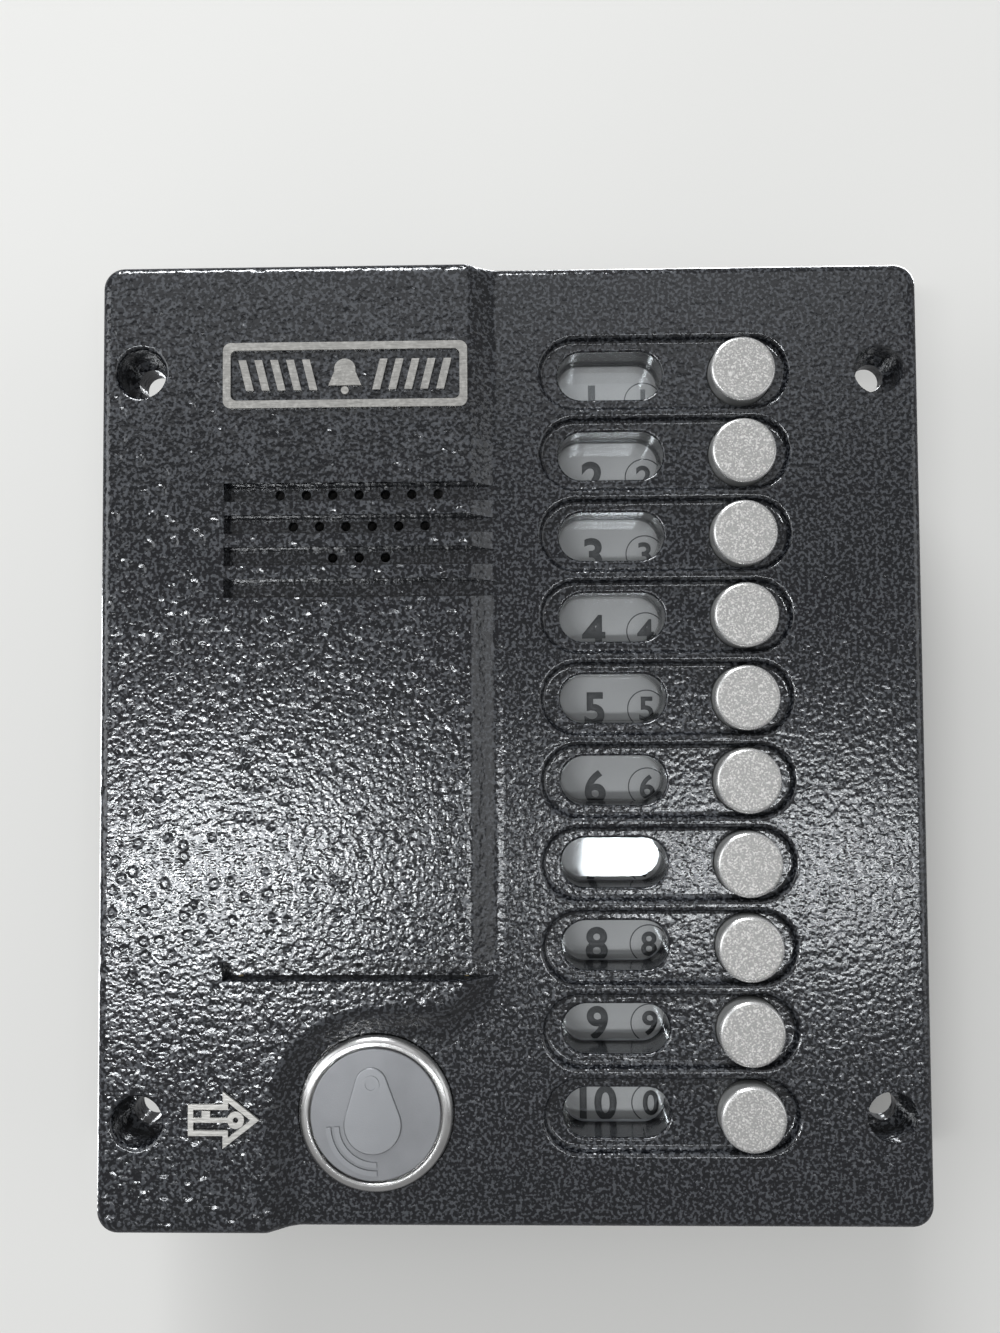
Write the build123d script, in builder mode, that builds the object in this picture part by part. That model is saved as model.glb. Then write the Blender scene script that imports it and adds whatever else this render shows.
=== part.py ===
"""Door intercom panel: a die-cast front with ten call buttons, a key-fob reader, a speaker and a
microphone.

Frame: X to the right seen from the front, +Z up, the front faces -Y. The origin is the centre of the four
mounting holes on the wall plane (y = 0). The box behind the casting goes into the wall, towards +Y.
"""

import os
from math import atan, cos, degrees, radians, sin

from build123d import *

os.makedirs("parts", exist_ok=True)

# ---- driving dimensions, mm ----------------------------------------------------------------------
panel_w = 150.0  # casting width
panel_h = 175.0  # casting height
panel_corner_r = 4.0
plate_t = 8.0  # wall plane to the plain face
raised_t = 3.0  # how far the raised section stands above the plain face
front_edge_r = 2.0  # rounding of the casting's front edges
rim_wall = 3.0
pocket_step = 1.0  # deeper pocket stays this far inside the shallow one
wall_skin = 3.3  # wall plane to the pocket ceiling behind the plain face
raised_skin = 6.0  # wall plane to the pocket ceiling behind the raised section

hole_pitch_x = 135.0  # mounting holes
hole_pitch_z = 135.0
mount_hole_d = 5.2
mount_head_d = 9.0
mount_head_floor_right = 2.7  # metal left under the screw head
mount_head_floor_left = 4.7
mount_boss_d = 14.0

reader_x = -25.0
reader_z = -66.8
raised_right = -7.5  # right edge of the raised top face
raised_knee_r = 8.0  # convex corner above the reader
raised_reader_r = 19.0  # concave edge round the reader
slope_run = 4.5  # sideways run of the slope
slope_top_r = 2.6
slope_base_r = 4.5

rows = 10
row_pitch = 15.0
recess_left = 5.4
recess_right = 51.0
recess_h = 13.0
recess_depth = 1.7
recess_rim_r = 0.8
recess_foot_r = min(0.8, recess_depth - recess_rim_r - 0.1)  # where the walls meet the floors
window_x = 18.5
window_w = 19.5
window_h = 9.0
window_rim_r = 0.5
window_border = 3.0  # solid metal round the windows
button_x = 42.5

groove_left = -52.2
groove_w = 3.4
groove_floor_w = 2.6
groove_depth = 3.0
groove_first_z = 45.3
groove_pitch = 5.83
groove_count = 4
sound_hole_d = 1.8
sound_hole_pitch = 4.87
speaker_x = -28.0
speaker_z = 40.0
mic_x = -28.0
mic_z = -41.0
mic_lift = 0.5  # the hole's height above the groove's middle
mic_hole_d = 1.2

mount_rim_r = 0.8
sound_hole_counts = (7, 6, 3)  # in the first grooves from the top
badge_bars = 5  # each side of the bell
badge_bar_first = 6.4
badge_bar_pitch = 2.9
badge_bar_w = 1.4
badge_bar_h = 5.6
badge_bar_lean = 0.7
bell_shoulder = 1.9  # half widths and heights of the bell, from the badge's middle
bell_shoulder_z = 0.6
bell_mouth = 3.0
bell_mouth_z = 2.0
bell_crown_z = 2.9
bell_clapper_d = 1.4
arrow_shaft_h = 5.5
arrow_head_h = 10.0
arrow_head_x = -51.8
arrow_key_x = -49.5
arrow_key_ring_d = 3.0
arrow_key_hole_d = 1.0
arrow_key_shaft = 0.85
arrow_bit_x = 3.2  # the key's bit, from the arrow's tail and axis
arrow_bit_z = 0.9
arrow_bit_w = 1.5
arrow_bit_h = 1.4
relief_h = 0.6  # height of the cast badge and arrow
badge_z = 66.6
badge_x = -30.0
badge_w = 44.5
badge_h = 12.0
badge_band = 1.4
badge_corner_r = 1.4
arrow_tail_x = -58.0
arrow_tip_x = -45.3
arrow_z = reader_z
arrow_band = 0.95

cover_w = 118.0  # rear cover outside
cover_h = 164.0
cover_depth = 20.0
cover_wall = 2.0
cover_corner_r = 5.0
seal_w = 4.0
seal_t = 1.0
cover_screw_x = 50.0
cover_screw_z = 75.5

cap_d = 11.8  # push button
cap_proud = 1.8
cap_edge_r = 0.7
flange_d = 14.0
flange_t = 1.2
stem_d = 5.0
button_travel = 1.2
spring_wire = 0.5
spring_coil_d = 8.0
spring_gap = 4.2
spring_turns = 4.5

lens_w = 22.0
lens_t = 1.8
lens_pad_depth = 1.0  # how far the pads reach into the windows
card_t = 0.3
diffuser_t = 1.6
guide_t = 1.8
board_t = 1.6
button_board_face = 12.0
switch_side = 6.0
switch_body_t = 3.3
switch_plunger_d = 3.4
switch_plunger_t = 1.0

bezel_d = 28.0  # reader ring
bezel_bore = 24.0
bezel_proud = 1.5
bezel_ledge_t = 1.0
bezel_lip_r = 0.3
reader_seat_depth = 1.5
reader_seal_t = 0.5
sleeve_d = 21.0
sleeve_bore = 18.6
sleeve_back = 3.0
disc_t = 1.2
disc_edge_r = 0.3
disc_spigot_t = 1.5
drop_top_r = 2.9  # fob outline on the reader's disc
drop_top = (-0.8, 5.5)
drop_base_r = 5.2
drop_base = (-0.5, -1.8)
drop_h = 0.35
drop_edge_r = 0.24
drop_eye_d = 3.1
drop_eye_hole_d = 2.0
wave_r = (6.95, 8.45)
wave_w = 0.9
wave_start = 182  # degrees, from the right
wave_h = 0.3
nut_d = 25.0
nut_t = 2.2
coil_t = 2.0
spool_bore = 8.0
spool_groove = 1.0
spool_flange = 0.4
cup_rim_t = 1.2
nut_slots = 6
nut_slot_w = 1.6
nut_slot_h = 3.2

speaker_d = 45.0
speaker_rim_w = 3.5
speaker_gasket_t = 1.0
speaker_flange_t = 1.0
speaker_depth = 6.0  # flange to magnet
speaker_wall = 0.8
magnet_d = 22.0
magnet_t = 6.0
clamp_t = 1.0
boot_d = 12.4
boot_front_t = 1.0
capsule_d = 9.7
capsule_t = 5.0

main_board_w = 48.0
main_board_h = 60.0
main_board_x = -29.0
main_board_z = -17.0
main_board_face = 4.0

# place from the board's middle, then radius and height
capacitor_places = ((-14, 20, 4, 11), (-16, 11, 3.15, 8), (-6, 23, 3.15, 8))
# place from the board's middle, then width, length, height and legs a side
chip_places = ((1, 3, 10, 10, 1.6, 8), (-14, -4, 6, 5, 1.5, 4), (12, -8, 4, 5, 1.5, 4))
relay_w = 18.0
relay_h = 10.5
relay_t = 11.0
relay_place = (9.0, 17.8)  # from the board's middle

terminal_poles = 7
terminal_pitch = 5.0
terminal_depth = 8.0
terminal_t = 10.0
terminal_screw_d = 3.4
trimmer_side = 6.6
trimmer_t = 4.0
trimmer_rotor_d = 4.0
trimmer_rotor_t = 1.0
ribbon_w = 16.0
ribbon_t = 0.4
ribbon_bend_r = 1.5

grommet_x = -8.0
grommet_z = -58.0
grommet_neck_d = 12.0
grommet_flange_d = 16.0
grommet_lip_t = 1.5
grommet_bevel = 0.5
cable_bore_d = 6.0

m25_core_d = 2.0  # small self-tapping screws
m25_head_d = 4.4
m25_head_t = 1.5
m25_grip = 4.0
m3_core_d = 2.5
m3_head_d = 5.5
m3_head_t = 2.0
m3_grip = 5.0
head_round = 0.6  # shares of a screw head's height and diameter
cross_floor = 0.4
cross_long = 0.55
cross_wide = 0.14
spacer_stud = 2.5
spacer_across = 5.0
spacer_inset = 3.5  # from the board's edges
well_bore_d = 6.2  # wells for the cover screws
well_wall = 1.2
well_floor = 3.0

# ---- clearances, mm ------------------------------------------------------------------------------
slip = 0.2  # radial, a part that drops into place
guide_clear = 0.1  # radial, stem in its guide
face_gap = 0.1  # between faces that pass each other
press_gap = 0.1  # stem tip to switch at full travel
screw_clear = 0.2  # radial, screw in its hole
nut_clear = 0.6  # radial, room round the reader's nut
thread_gap = 0.02  # radial, screw shank in its tapped hole
hole_end = 0.5  # left below a screw in a blind hole

# ---- places worked out from the above ------------------------------------------------------------
plate_face = -plate_t
raised_face = -(plate_t + raised_t)
recess_floor = plate_face + recess_depth
row_z = [(rows - 1) / 2 * row_pitch - i * row_pitch for i in range(rows)]
strip_back = 1.0  # back of the solid strip that the windows go through
frame_back = -seal_t  # back of the frame that the rear seal sits on
seal_half_w, seal_half_h = cover_w / 2, cover_h / 2
inner_half_w = seal_half_w - seal_w
inner_half_h = seal_half_h - seal_w
window_seal_t = 0.5
lens_face = strip_back + window_seal_t
card_face = lens_face + lens_t + face_gap
diffuser_face = card_face + card_t
clamp_face = diffuser_face + diffuser_t  # guide's face behind the labels
flange_face = -wall_skin + face_gap
flange_back = flange_face + flange_t
guide_face = flange_back + spring_gap
stem_tip = button_board_face - switch_body_t - switch_plunger_t - button_travel - press_gap
strip_h = 2 * row_z[0] + window_h + 2 * window_border
board_half_h = cover_screw_z - well_bore_d / 2 - well_wall - 0.4
board_left, board_right = 1.0, inner_half_w - 1.0
guide_left, guide_right = 0.5, inner_half_w - 0.5
guide_step_x = window_x + lens_w / 2 + 4.0
boss_d = 5.0
boss_stand_off = 0.5  # between a boss and the seal's frame
label_boss_d = 4.4
cover_boss_d = 7.0
guide_screw_right_x = inner_half_w - boss_d / 2 - boss_stand_off
guide_screw_left_x = 3.2
guide_screw_z = [4 * row_pitch, 0.0, -4 * row_pitch]

reader_seat = plate_face + reader_seat_depth
bezel_back = reader_seat - reader_seal_t
ledge_face = bezel_back - bezel_ledge_t
bezel_top = plate_face - bezel_proud
groove_z = [groove_first_z - i * groove_pitch for i in range(groove_count)]
speaker_flange_back = -raised_skin + speaker_gasket_t + speaker_flange_t
spacer_places = [(main_board_x + sx * (main_board_w / 2 - spacer_inset),
                  main_board_z + sz * (main_board_h / 2 - spacer_inset))
                 for sx in (1, -1) for sz in (1, -1)]
speaker_boss_reach = speaker_d / 2 + boss_d / 2 + 0.4
board_post_z = board_half_h - boss_d / 2
board_posts = [(x, z) for x in (board_left + boss_d / 2, board_right - boss_d / 2)
               for z in (board_post_z, -board_post_z)]
cover_back = cover_depth
mic_axis_z = mic_z + mic_lift
main_board_back = main_board_face + board_t
button_board_back = button_board_face + board_t


def front(y):
    """Plane at depth y that looks out of the front: local x is X, local y is Z, extrude goes to -Y."""
    return Plane.XZ.offset(-y)


def back(y):
    """Plane at depth y that looks out of the back: local x is -X, local y is Z, extrude goes to +Y."""
    return Plane(origin=(0, y, 0), x_dir=(-1, 0, 0), z_dir=(0, 1, 0))


def finish(piece, name):
    """Labels a piece and writes its STEP file."""
    piece.part.label = name
    export_step(piece.part, f"parts/{name}.step")


# ---- front casting -------------------------------------------------------------------------------
far = panel_w  # the raised block is drawn past the panel's edges, then trimmed
trim_z = panel_h / 2 + 20  # edges beyond this height are trimmed away
weld = 0.5  # how far a boss runs into what it stands on
cut_past = 1.0  # how far a cut runs past a face
base_right = raised_right + slope_run
base_knee_r = raised_knee_r + slope_run
base_reader_r = raised_reader_r - slope_run
knee_x = raised_right - raised_knee_r
knee_z = reader_z + raised_reader_r + raised_knee_r


def on_top_outline(edge):
    """True for the raised face's edges that are inside the panel."""
    middle = edge.center()
    return abs(middle.Y - raised_face) < 0.01 and middle.X > reader_x - 2 * raised_reader_r \
        and abs(middle.Z) < trim_z


def on_base_outline(edge):
    """True for the slope's foot."""
    middle = edge.center()
    return abs(middle.Y - plate_face) < 0.01 and abs(middle.X) < panel_w / 2 \
        and abs(middle.Z) < trim_z


def on_front_rim(edge):
    """True for the outer edges of the front."""
    middle = edge.center()
    near_side = abs(middle.X) > panel_w / 2 - panel_corner_r
    near_end = abs(middle.Z) > panel_h / 2 - panel_corner_r
    along_depth = abs(edge.bounding_box().size.Y) > plate_t - 1
    return (near_side or near_end) and middle.Y < plate_face + 0.1 and not along_depth


def on_recess_rim(edge):
    """True for the recesses' edges on the plain face."""
    middle = edge.center()
    return abs(middle.Y - plate_face) < 0.01 and recess_left - 0.1 < middle.X < recess_right + 0.1


def on_recess_foot(edge):
    """True for the recesses' edges on their floors, before the windows are cut."""
    middle = edge.center()
    return abs(middle.Y - recess_floor) < 0.01 and recess_left - 0.1 < middle.X < recess_right + 0.1


def on_window_rim(edge):
    """True for the windows' edges on the recess floors."""
    middle = edge.center()
    return abs(middle.Y - recess_floor) < 0.01 and abs(middle.X - window_x) < window_w / 2 + 0.1


def on_head_rim(edge):
    """True for the edges round the sunk screw heads."""
    middle = edge.center()
    return middle.Y < plate_face + 0.01 and edge.geom_type == GeomType.CIRCLE \
        and abs(edge.radius - mount_head_d / 2) < 0.01 and abs(middle.X) > hole_pitch_x / 2 - 1


def arrow_outline(inset):
    """The arrow's corners, moved inwards by a width."""
    slant = (arrow_tip_x - arrow_head_x) / (arrow_head_h / 2)  # run of the head's edge per unit of height
    tip_inset = inset * (1 + slant ** 2) ** 0.5
    head_top = (arrow_tip_x - tip_inset - arrow_head_x - inset) / slant
    shaft_top = arrow_shaft_h / 2 - inset
    upper = [(arrow_tail_x + inset, shaft_top), (arrow_head_x + inset, shaft_top),
             (arrow_head_x + inset, head_top), (arrow_tip_x - tip_inset, 0)]
    lower = [(x, -z) for x, z in reversed(upper[:-1])]
    return [(x, arrow_z + z) for x, z in upper + lower]


with BuildPart() as front_casting:
    with BuildSketch(front(0)):
        Rectangle(2 * panel_w, 2 * panel_h)
    extrude(amount=plate_t)
    with BuildSketch(front(plate_face)):
        with BuildLine():
            Line((base_right, far), (base_right, knee_z))
            CenterArc((knee_x, knee_z), base_knee_r, 0, -90)
            Line((knee_x, knee_z - base_knee_r), (reader_x, knee_z - base_knee_r))
            CenterArc((reader_x, reader_z), base_reader_r, 90, 90)
            Line((reader_x - base_reader_r, reader_z), (reader_x - base_reader_r, -far))
            Polyline((reader_x - base_reader_r, -far), (-far, -far), (-far, far), (base_right, far))
        make_face()
    extrude(amount=raised_t, taper=degrees(atan(slope_run / raised_t)))
    fillet(front_casting.edges().filter_by(on_top_outline), slope_top_r)
    fillet(front_casting.edges().filter_by(on_base_outline), slope_base_r)
    with BuildSketch(front(0)):
        RectangleRounded(panel_w, panel_h, panel_corner_r)
    extrude(amount=plate_t + raised_t, mode=Mode.INTERSECT)
    fillet(front_casting.edges().filter_by(on_front_rim), front_edge_r)

    # pocket behind the face, deeper behind the raised section
    with BuildSketch(front(0)):
        Rectangle(panel_w - 2 * rim_wall, panel_h - 2 * rim_wall)
    extrude(amount=wall_skin, mode=Mode.SUBTRACT)
    deep_left, deep_right = -panel_w / 2 + rim_wall + pocket_step, base_right + 2 * pocket_step
    deep_top, deep_bottom = panel_h / 2 - rim_wall - pocket_step, knee_z - base_knee_r + 2 * pocket_step
    with BuildSketch(front(-wall_skin)):
        with Locations(((deep_left + deep_right) / 2, (deep_top + deep_bottom) / 2)):
            Rectangle(deep_right - deep_left, deep_top - deep_bottom)
        side_right = reader_x - raised_reader_r - rim_wall
        with Locations(((deep_left + side_right) / 2, (deep_bottom - deep_top) / 2)):
            Rectangle(side_right - deep_left, deep_top + deep_bottom)
    extrude(amount=raised_skin - wall_skin, mode=Mode.SUBTRACT)
    # frame that the rear seal sits on
    with BuildSketch(front(frame_back)):
        RectangleRounded(cover_w, cover_h, cover_corner_r)
        RectangleRounded(2 * inner_half_w, 2 * inner_half_h, cover_corner_r - cover_wall,
                         mode=Mode.SUBTRACT)
    extrude(amount=raised_skin - seal_t)
    # solid strip behind the label windows
    with BuildSketch(front(strip_back)):
        with Locations((window_x, 0)):
            Rectangle(window_w + 2 * window_border, strip_h)
    extrude(amount=strip_back + wall_skin + weld)
    # bosses
    with BuildSketch(front(0)):
        with GridLocations(hole_pitch_x, hole_pitch_z, 2, 2):
            Circle(mount_boss_d / 2)
        with GridLocations(2 * cover_screw_x, 2 * cover_screw_z, 2, 2):
            Circle(cover_boss_d / 2)
    extrude(amount=raised_skin)
    with BuildSketch(front(guide_face)):
        with Locations([(guide_screw_right_x, z) for z in guide_screw_z]):
            Circle(boss_d / 2)
    extrude(amount=guide_face + wall_skin + weld)
    with BuildSketch(front(clamp_face)):
        with Locations([(guide_screw_left_x, z) for z in guide_screw_z]):
            Circle(label_boss_d / 2)
    extrude(amount=clamp_face + wall_skin + weld)
    with BuildSketch(front(speaker_flange_back)):
        with Locations((speaker_x, speaker_z)):
            with PolarLocations(speaker_boss_reach, 4, start_angle=45):
                Circle(boss_d / 2)
    extrude(amount=speaker_flange_back + raised_skin + weld)
    # recesses, windows and button bores
    with BuildSketch(front(recess_floor)):
        with Locations([((recess_left + recess_right) / 2, z) for z in row_z]):
            SlotOverall(recess_right - recess_left, recess_h)
    extrude(amount=recess_depth + cut_past, mode=Mode.SUBTRACT)
    fillet(front_casting.edges().filter_by(on_recess_rim), recess_rim_r)
    fillet(front_casting.edges().filter_by(on_recess_foot), recess_foot_r)
    with BuildSketch(front(strip_back)):
        with Locations([(window_x, z) for z in row_z]):
            SlotOverall(window_w, window_h)
    extrude(amount=strip_back - recess_floor, mode=Mode.SUBTRACT)
    fillet(front_casting.edges().filter_by(on_window_rim), window_rim_r)
    with BuildSketch(front(0)):
        with Locations([(button_x, z) for z in row_z]):
            Circle(cap_d / 2 + slip)
    extrude(amount=recess_foot_r - recess_floor, mode=Mode.SUBTRACT)
    # sound grooves, open at the slope, with their holes
    groove_right = base_right + cut_past
    groove_taper = degrees(atan((groove_w - groove_floor_w) / 2 / groove_depth))
    with BuildSketch(back(raised_face)):
        for z in groove_z + [mic_z]:
            with Locations((-(groove_left + groove_right) / 2, z)):
                Rectangle(groove_right - groove_left, groove_w)
    extrude(amount=groove_depth, taper=groove_taper, mode=Mode.SUBTRACT)
    with BuildSketch(front(-raised_skin + weld)):
        for z, count in zip(groove_z, sound_hole_counts):
            with Locations((speaker_x, z)):
                with GridLocations(sound_hole_pitch, 1, count, 1):
                    Circle(sound_hole_d / 2)
        with Locations((mic_x, mic_axis_z)):
            Circle(mic_hole_d / 2)
    extrude(amount=groove_depth + cut_past, mode=Mode.SUBTRACT)
    # reader hole, its seat, and room for its nut
    with BuildSketch(front(0)):
        with Locations((reader_x, reader_z)):
            Circle(sleeve_d / 2 + slip)
    extrude(amount=plate_t + cut_past, mode=Mode.SUBTRACT)
    with BuildSketch(front(reader_seat)):
        with Locations((reader_x, reader_z)):
            Circle(bezel_d / 2 + slip)
    extrude(amount=reader_seat_depth + cut_past, mode=Mode.SUBTRACT)
    with BuildSketch(front(frame_back + weld)):
        with Locations((reader_x, reader_z)):
            Circle(nut_d / 2 + nut_clear)
    extrude(amount=wall_skin + frame_back + weld, mode=Mode.SUBTRACT)
    # mounting holes, with heads sunk below the face
    with BuildSketch(front(0)):
        with GridLocations(hole_pitch_x, hole_pitch_z, 2, 2):
            Circle(mount_hole_d / 2)
    extrude(amount=plate_t + raised_t, mode=Mode.SUBTRACT)
    for side, head_floor in ((1, mount_head_floor_right), (-1, mount_head_floor_left)):
        with BuildSketch(front(-head_floor)):
            with Locations([(side * hole_pitch_x / 2, end * hole_pitch_z / 2) for end in (1, -1)]):
                Circle(mount_head_d / 2)
        extrude(amount=plate_t + raised_t, mode=Mode.SUBTRACT)
    fillet(front_casting.edges().filter_by(on_head_rim), mount_rim_r)
    # blind holes for the screws that go in from behind
    with BuildSketch(front(0)):
        with GridLocations(2 * cover_screw_x, 2 * cover_screw_z, 2, 2):
            Circle(m3_core_d / 2)
    extrude(amount=m3_grip, mode=Mode.SUBTRACT)
    for x, face in ((guide_screw_right_x, guide_face), (guide_screw_left_x, clamp_face)):
        with BuildSketch(front(face)):
            with Locations([(x, z) for z in guide_screw_z]):
                Circle(m25_core_d / 2)
        extrude(amount=m25_grip, mode=Mode.SUBTRACT)
    with BuildSketch(front(speaker_flange_back)):
        with Locations((speaker_x, speaker_z)):
            with PolarLocations(speaker_boss_reach, 4, start_angle=45):
                Circle(m25_core_d / 2)
    extrude(amount=m25_grip, mode=Mode.SUBTRACT)
    with BuildSketch(front(-raised_skin)):
        with Locations(spacer_places):
            Circle(m3_core_d / 2)
    extrude(amount=spacer_stud, mode=Mode.SUBTRACT)
    # cast badge: a frame round a bell between slanted bars
    with BuildSketch(front(raised_face - relief_h)):
        with Locations((badge_x, badge_z)):
            RectangleRounded(badge_w, badge_h, badge_corner_r)
            RectangleRounded(badge_w - 2 * badge_band, badge_h - 2 * badge_band,
                             badge_corner_r - badge_band / 4, mode=Mode.SUBTRACT)
        for i in range(badge_bars):
            for side in (1, -1):
                x = badge_x + side * (badge_bar_first + i * badge_bar_pitch)
                lean = badge_bar_lean * side
                with BuildLine():
                    Polyline((x - badge_bar_w / 2 - lean, badge_z - badge_bar_h / 2),
                             (x + badge_bar_w / 2 - lean, badge_z - badge_bar_h / 2),
                             (x + badge_bar_w / 2 + lean, badge_z + badge_bar_h / 2),
                             (x - badge_bar_w / 2 + lean, badge_z + badge_bar_h / 2), close=True)
                make_face()
        with BuildLine():
            shoulder_z, mouth_z = badge_z + bell_shoulder_z, badge_z - bell_mouth_z
            Polyline((badge_x - bell_shoulder, shoulder_z), (badge_x - bell_mouth, mouth_z),
                     (badge_x + bell_mouth, mouth_z), (badge_x + bell_shoulder, shoulder_z))
            ThreePointArc((badge_x + bell_shoulder, shoulder_z), (badge_x, badge_z + bell_crown_z),
                          (badge_x - bell_shoulder, shoulder_z))
        make_face()
        with Locations((badge_x, badge_z - bell_crown_z)):
            Circle(bell_clapper_d / 2)
    extrude(amount=-relief_h - weld / 2)
    # cast arrow that points at the reader, with a key inside
    with BuildSketch(front(raised_face - relief_h)):
        for band in (0.0, arrow_band):
            with BuildLine():
                outline = arrow_outline(band)
                Polyline(*outline, close=True)
            make_face(mode=Mode.ADD if band == 0.0 else Mode.SUBTRACT)
        with Locations((arrow_key_x, arrow_z)):
            Circle(arrow_key_ring_d / 2)
        with Locations(((arrow_key_x + arrow_tail_x) / 2, arrow_z)):
            Rectangle(arrow_key_x - arrow_tail_x - 1, arrow_key_shaft)
        with Locations((arrow_tail_x + arrow_bit_x, arrow_z + arrow_bit_z)):
            Rectangle(arrow_bit_w, arrow_bit_h)
        with Locations((arrow_key_x, arrow_z)):
            Circle(arrow_key_hole_d / 2, mode=Mode.SUBTRACT)
    extrude(amount=-relief_h - weld / 2)

finish(front_casting, "front_casting")


def turned(x, z):
    """Plane through a round piece's centre line: local x is the radius, local y is +Y."""
    return Plane(origin=(x, 0, z), x_dir=(1, 0, 0), z_dir=(0, 0, 1))


def centre_line(x, z):
    """A round piece's centre line."""
    return Axis((x, 0, z), (0, 1, 0))


def pan_screws(places, seat, head_d, head_t, shank_d, length):
    """Pan-head cross screws put in from behind, with the head's underside at depth seat."""
    with BuildPart() as screws:
        with BuildSketch(back(seat)):
            with Locations([(-x, z) for x, z in places]):
                Circle(head_d / 2)
        extrude(amount=head_t)
        fillet(screws.edges().group_by(Axis.Y)[-1], head_t * head_round)
        with BuildSketch(front(seat)):
            with Locations(places):
                Circle(shank_d / 2)
        extrude(amount=length)
        with BuildSketch(back(seat + head_t * cross_floor)):
            with Locations([(-x, z) for x, z in places]):
                Rectangle(head_d * cross_long, head_d * cross_wide)
                Rectangle(head_d * cross_wide, head_d * cross_long)
        extrude(amount=head_t, mode=Mode.SUBTRACT)
    return screws.part


# ---- reader --------------------------------------------------------------------------------------
reader = turned(reader_x, reader_z)
reader_axis = centre_line(reader_x, reader_z)

with BuildPart() as reader_bezel:
    with BuildSketch(reader):
        with BuildLine():
            inner, outer = bezel_bore / 2, bezel_d / 2
            lip = inner + bezel_lip_r
            crown = outer - bezel_proud
            Polyline((sleeve_bore / 2, ledge_face), (inner, ledge_face),
                     (inner, bezel_top + bezel_lip_r))
            CenterArc((lip, bezel_top + bezel_lip_r), bezel_lip_r, 180, 90)
            Line((lip, bezel_top), (crown, bezel_top))
            CenterArc((crown, plate_face), bezel_proud, 270, 90)
            Polyline((outer, plate_face), (outer, bezel_back), (sleeve_d / 2, bezel_back),
                     (sleeve_d / 2, sleeve_back), (sleeve_bore / 2, sleeve_back),
                     (sleeve_bore / 2, ledge_face))
        make_face()
    revolve(axis=reader_axis)
finish(reader_bezel, "reader_bezel")

with BuildPart() as reader_cap:
    with BuildSketch(front(ledge_face)):
        with Locations((reader_x, reader_z)):
            Circle(bezel_bore / 2 - slip)
    extrude(amount=disc_t)
    fillet(reader_cap.faces().sort_by(Axis.Y)[0].edges(), disc_edge_r)
    with BuildSketch(front(ledge_face + disc_spigot_t)):
        with Locations((reader_x, reader_z)):
            Circle(sleeve_bore / 2 - slip / 2)
    extrude(amount=disc_spigot_t)
    disc_face = ledge_face - disc_t
    with BuildSketch(front(disc_face)):
        top = (reader_x + drop_top[0], reader_z + drop_top[1])
        base = (reader_x + drop_base[0], reader_z + drop_base[1])
        with Locations(top):
            Circle(drop_top_r)
        with Locations(base):
            Circle(drop_base_r)
        make_hull()
    extrude(amount=drop_h)
    fillet(reader_cap.faces().sort_by(Axis.Y)[0].edges(), drop_edge_r)
    for r in wave_r:
        with BuildSketch(front(disc_face)):
            with BuildLine():
                CenterArc((reader_x, reader_z + drop_base[1]), r, wave_start, 90)
            trace(line_width=wave_w)
        extrude(amount=wave_h)
    with BuildSketch(front(disc_face - drop_h)):
        with Locations(top):
            Circle(drop_eye_d / 2)
            Circle(drop_eye_hole_d / 2, mode=Mode.SUBTRACT)
    extrude(amount=wave_h / 2)
finish(reader_cap, "reader_cap")

with BuildPart() as reader_seal:
    with BuildSketch(front(reader_seat)):
        with Locations((reader_x, reader_z)):
            Circle(bezel_d / 2 - slip)
            Circle(sleeve_d / 2 + slip, mode=Mode.SUBTRACT)
    extrude(amount=reader_seal_t)
finish(reader_seal, "reader_seal")

coil_face = ledge_face + disc_spigot_t + face_gap
with BuildPart() as reader_coil:
    with BuildSketch(reader):
        with BuildLine():
            spool, rim, hub = spool_bore / 2, sleeve_bore / 2 - slip, sleeve_bore / 2 - slip - spool_groove
            coil_back = coil_face + coil_t
            Polyline((spool, coil_face), (rim, coil_face), (rim, coil_face + spool_flange),
                     (hub, coil_face + spool_flange), (hub, coil_back - spool_flange),
                     (rim, coil_back - spool_flange), (rim, coil_back), (spool, coil_back), close=True)
        make_face()
    revolve(axis=reader_axis)
finish(reader_coil, "reader_coil")

cup_face = coil_face + coil_t + face_gap
with BuildPart() as reader_cup:
    with BuildSketch(reader):
        with BuildLine():
            body_r = sleeve_bore / 2 - slip / 2
            Polyline((0, cup_face), (body_r, cup_face), (body_r, sleeve_back),
                     (sleeve_d / 2, sleeve_back),
                     (sleeve_d / 2, sleeve_back + cup_rim_t), (0, sleeve_back + cup_rim_t), close=True)
        make_face()
    revolve(axis=reader_axis)
finish(reader_cup, "reader_cup")

with BuildPart() as reader_nut:
    with BuildSketch(back(-wall_skin)):
        with Locations((-reader_x, reader_z)):
            Circle(nut_d / 2)
            Circle(sleeve_d / 2 + thread_gap, mode=Mode.SUBTRACT)
            with PolarLocations(nut_d / 2, nut_slots):
                Rectangle(nut_slot_w, nut_slot_h, mode=Mode.SUBTRACT)
    extrude(amount=nut_t)
finish(reader_nut, "reader_nut")

# ---- speaker -------------------------------------------------------------------------------------
speaker = turned(speaker_x, speaker_z)
speaker_axis = centre_line(speaker_x, speaker_z)
speaker_face = -raised_skin + speaker_gasket_t
speaker_rim_r = speaker_d / 2
speaker_throat_r = speaker_rim_r - speaker_rim_w
speaker_base = speaker_face + speaker_depth

with BuildPart() as speaker_gasket:
    with BuildSketch(front(speaker_face)):
        with Locations((speaker_x, speaker_z)):
            Circle(speaker_rim_r)
            Circle(speaker_throat_r, mode=Mode.SUBTRACT)
    extrude(amount=speaker_gasket_t)
finish(speaker_gasket, "speaker_gasket")

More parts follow.
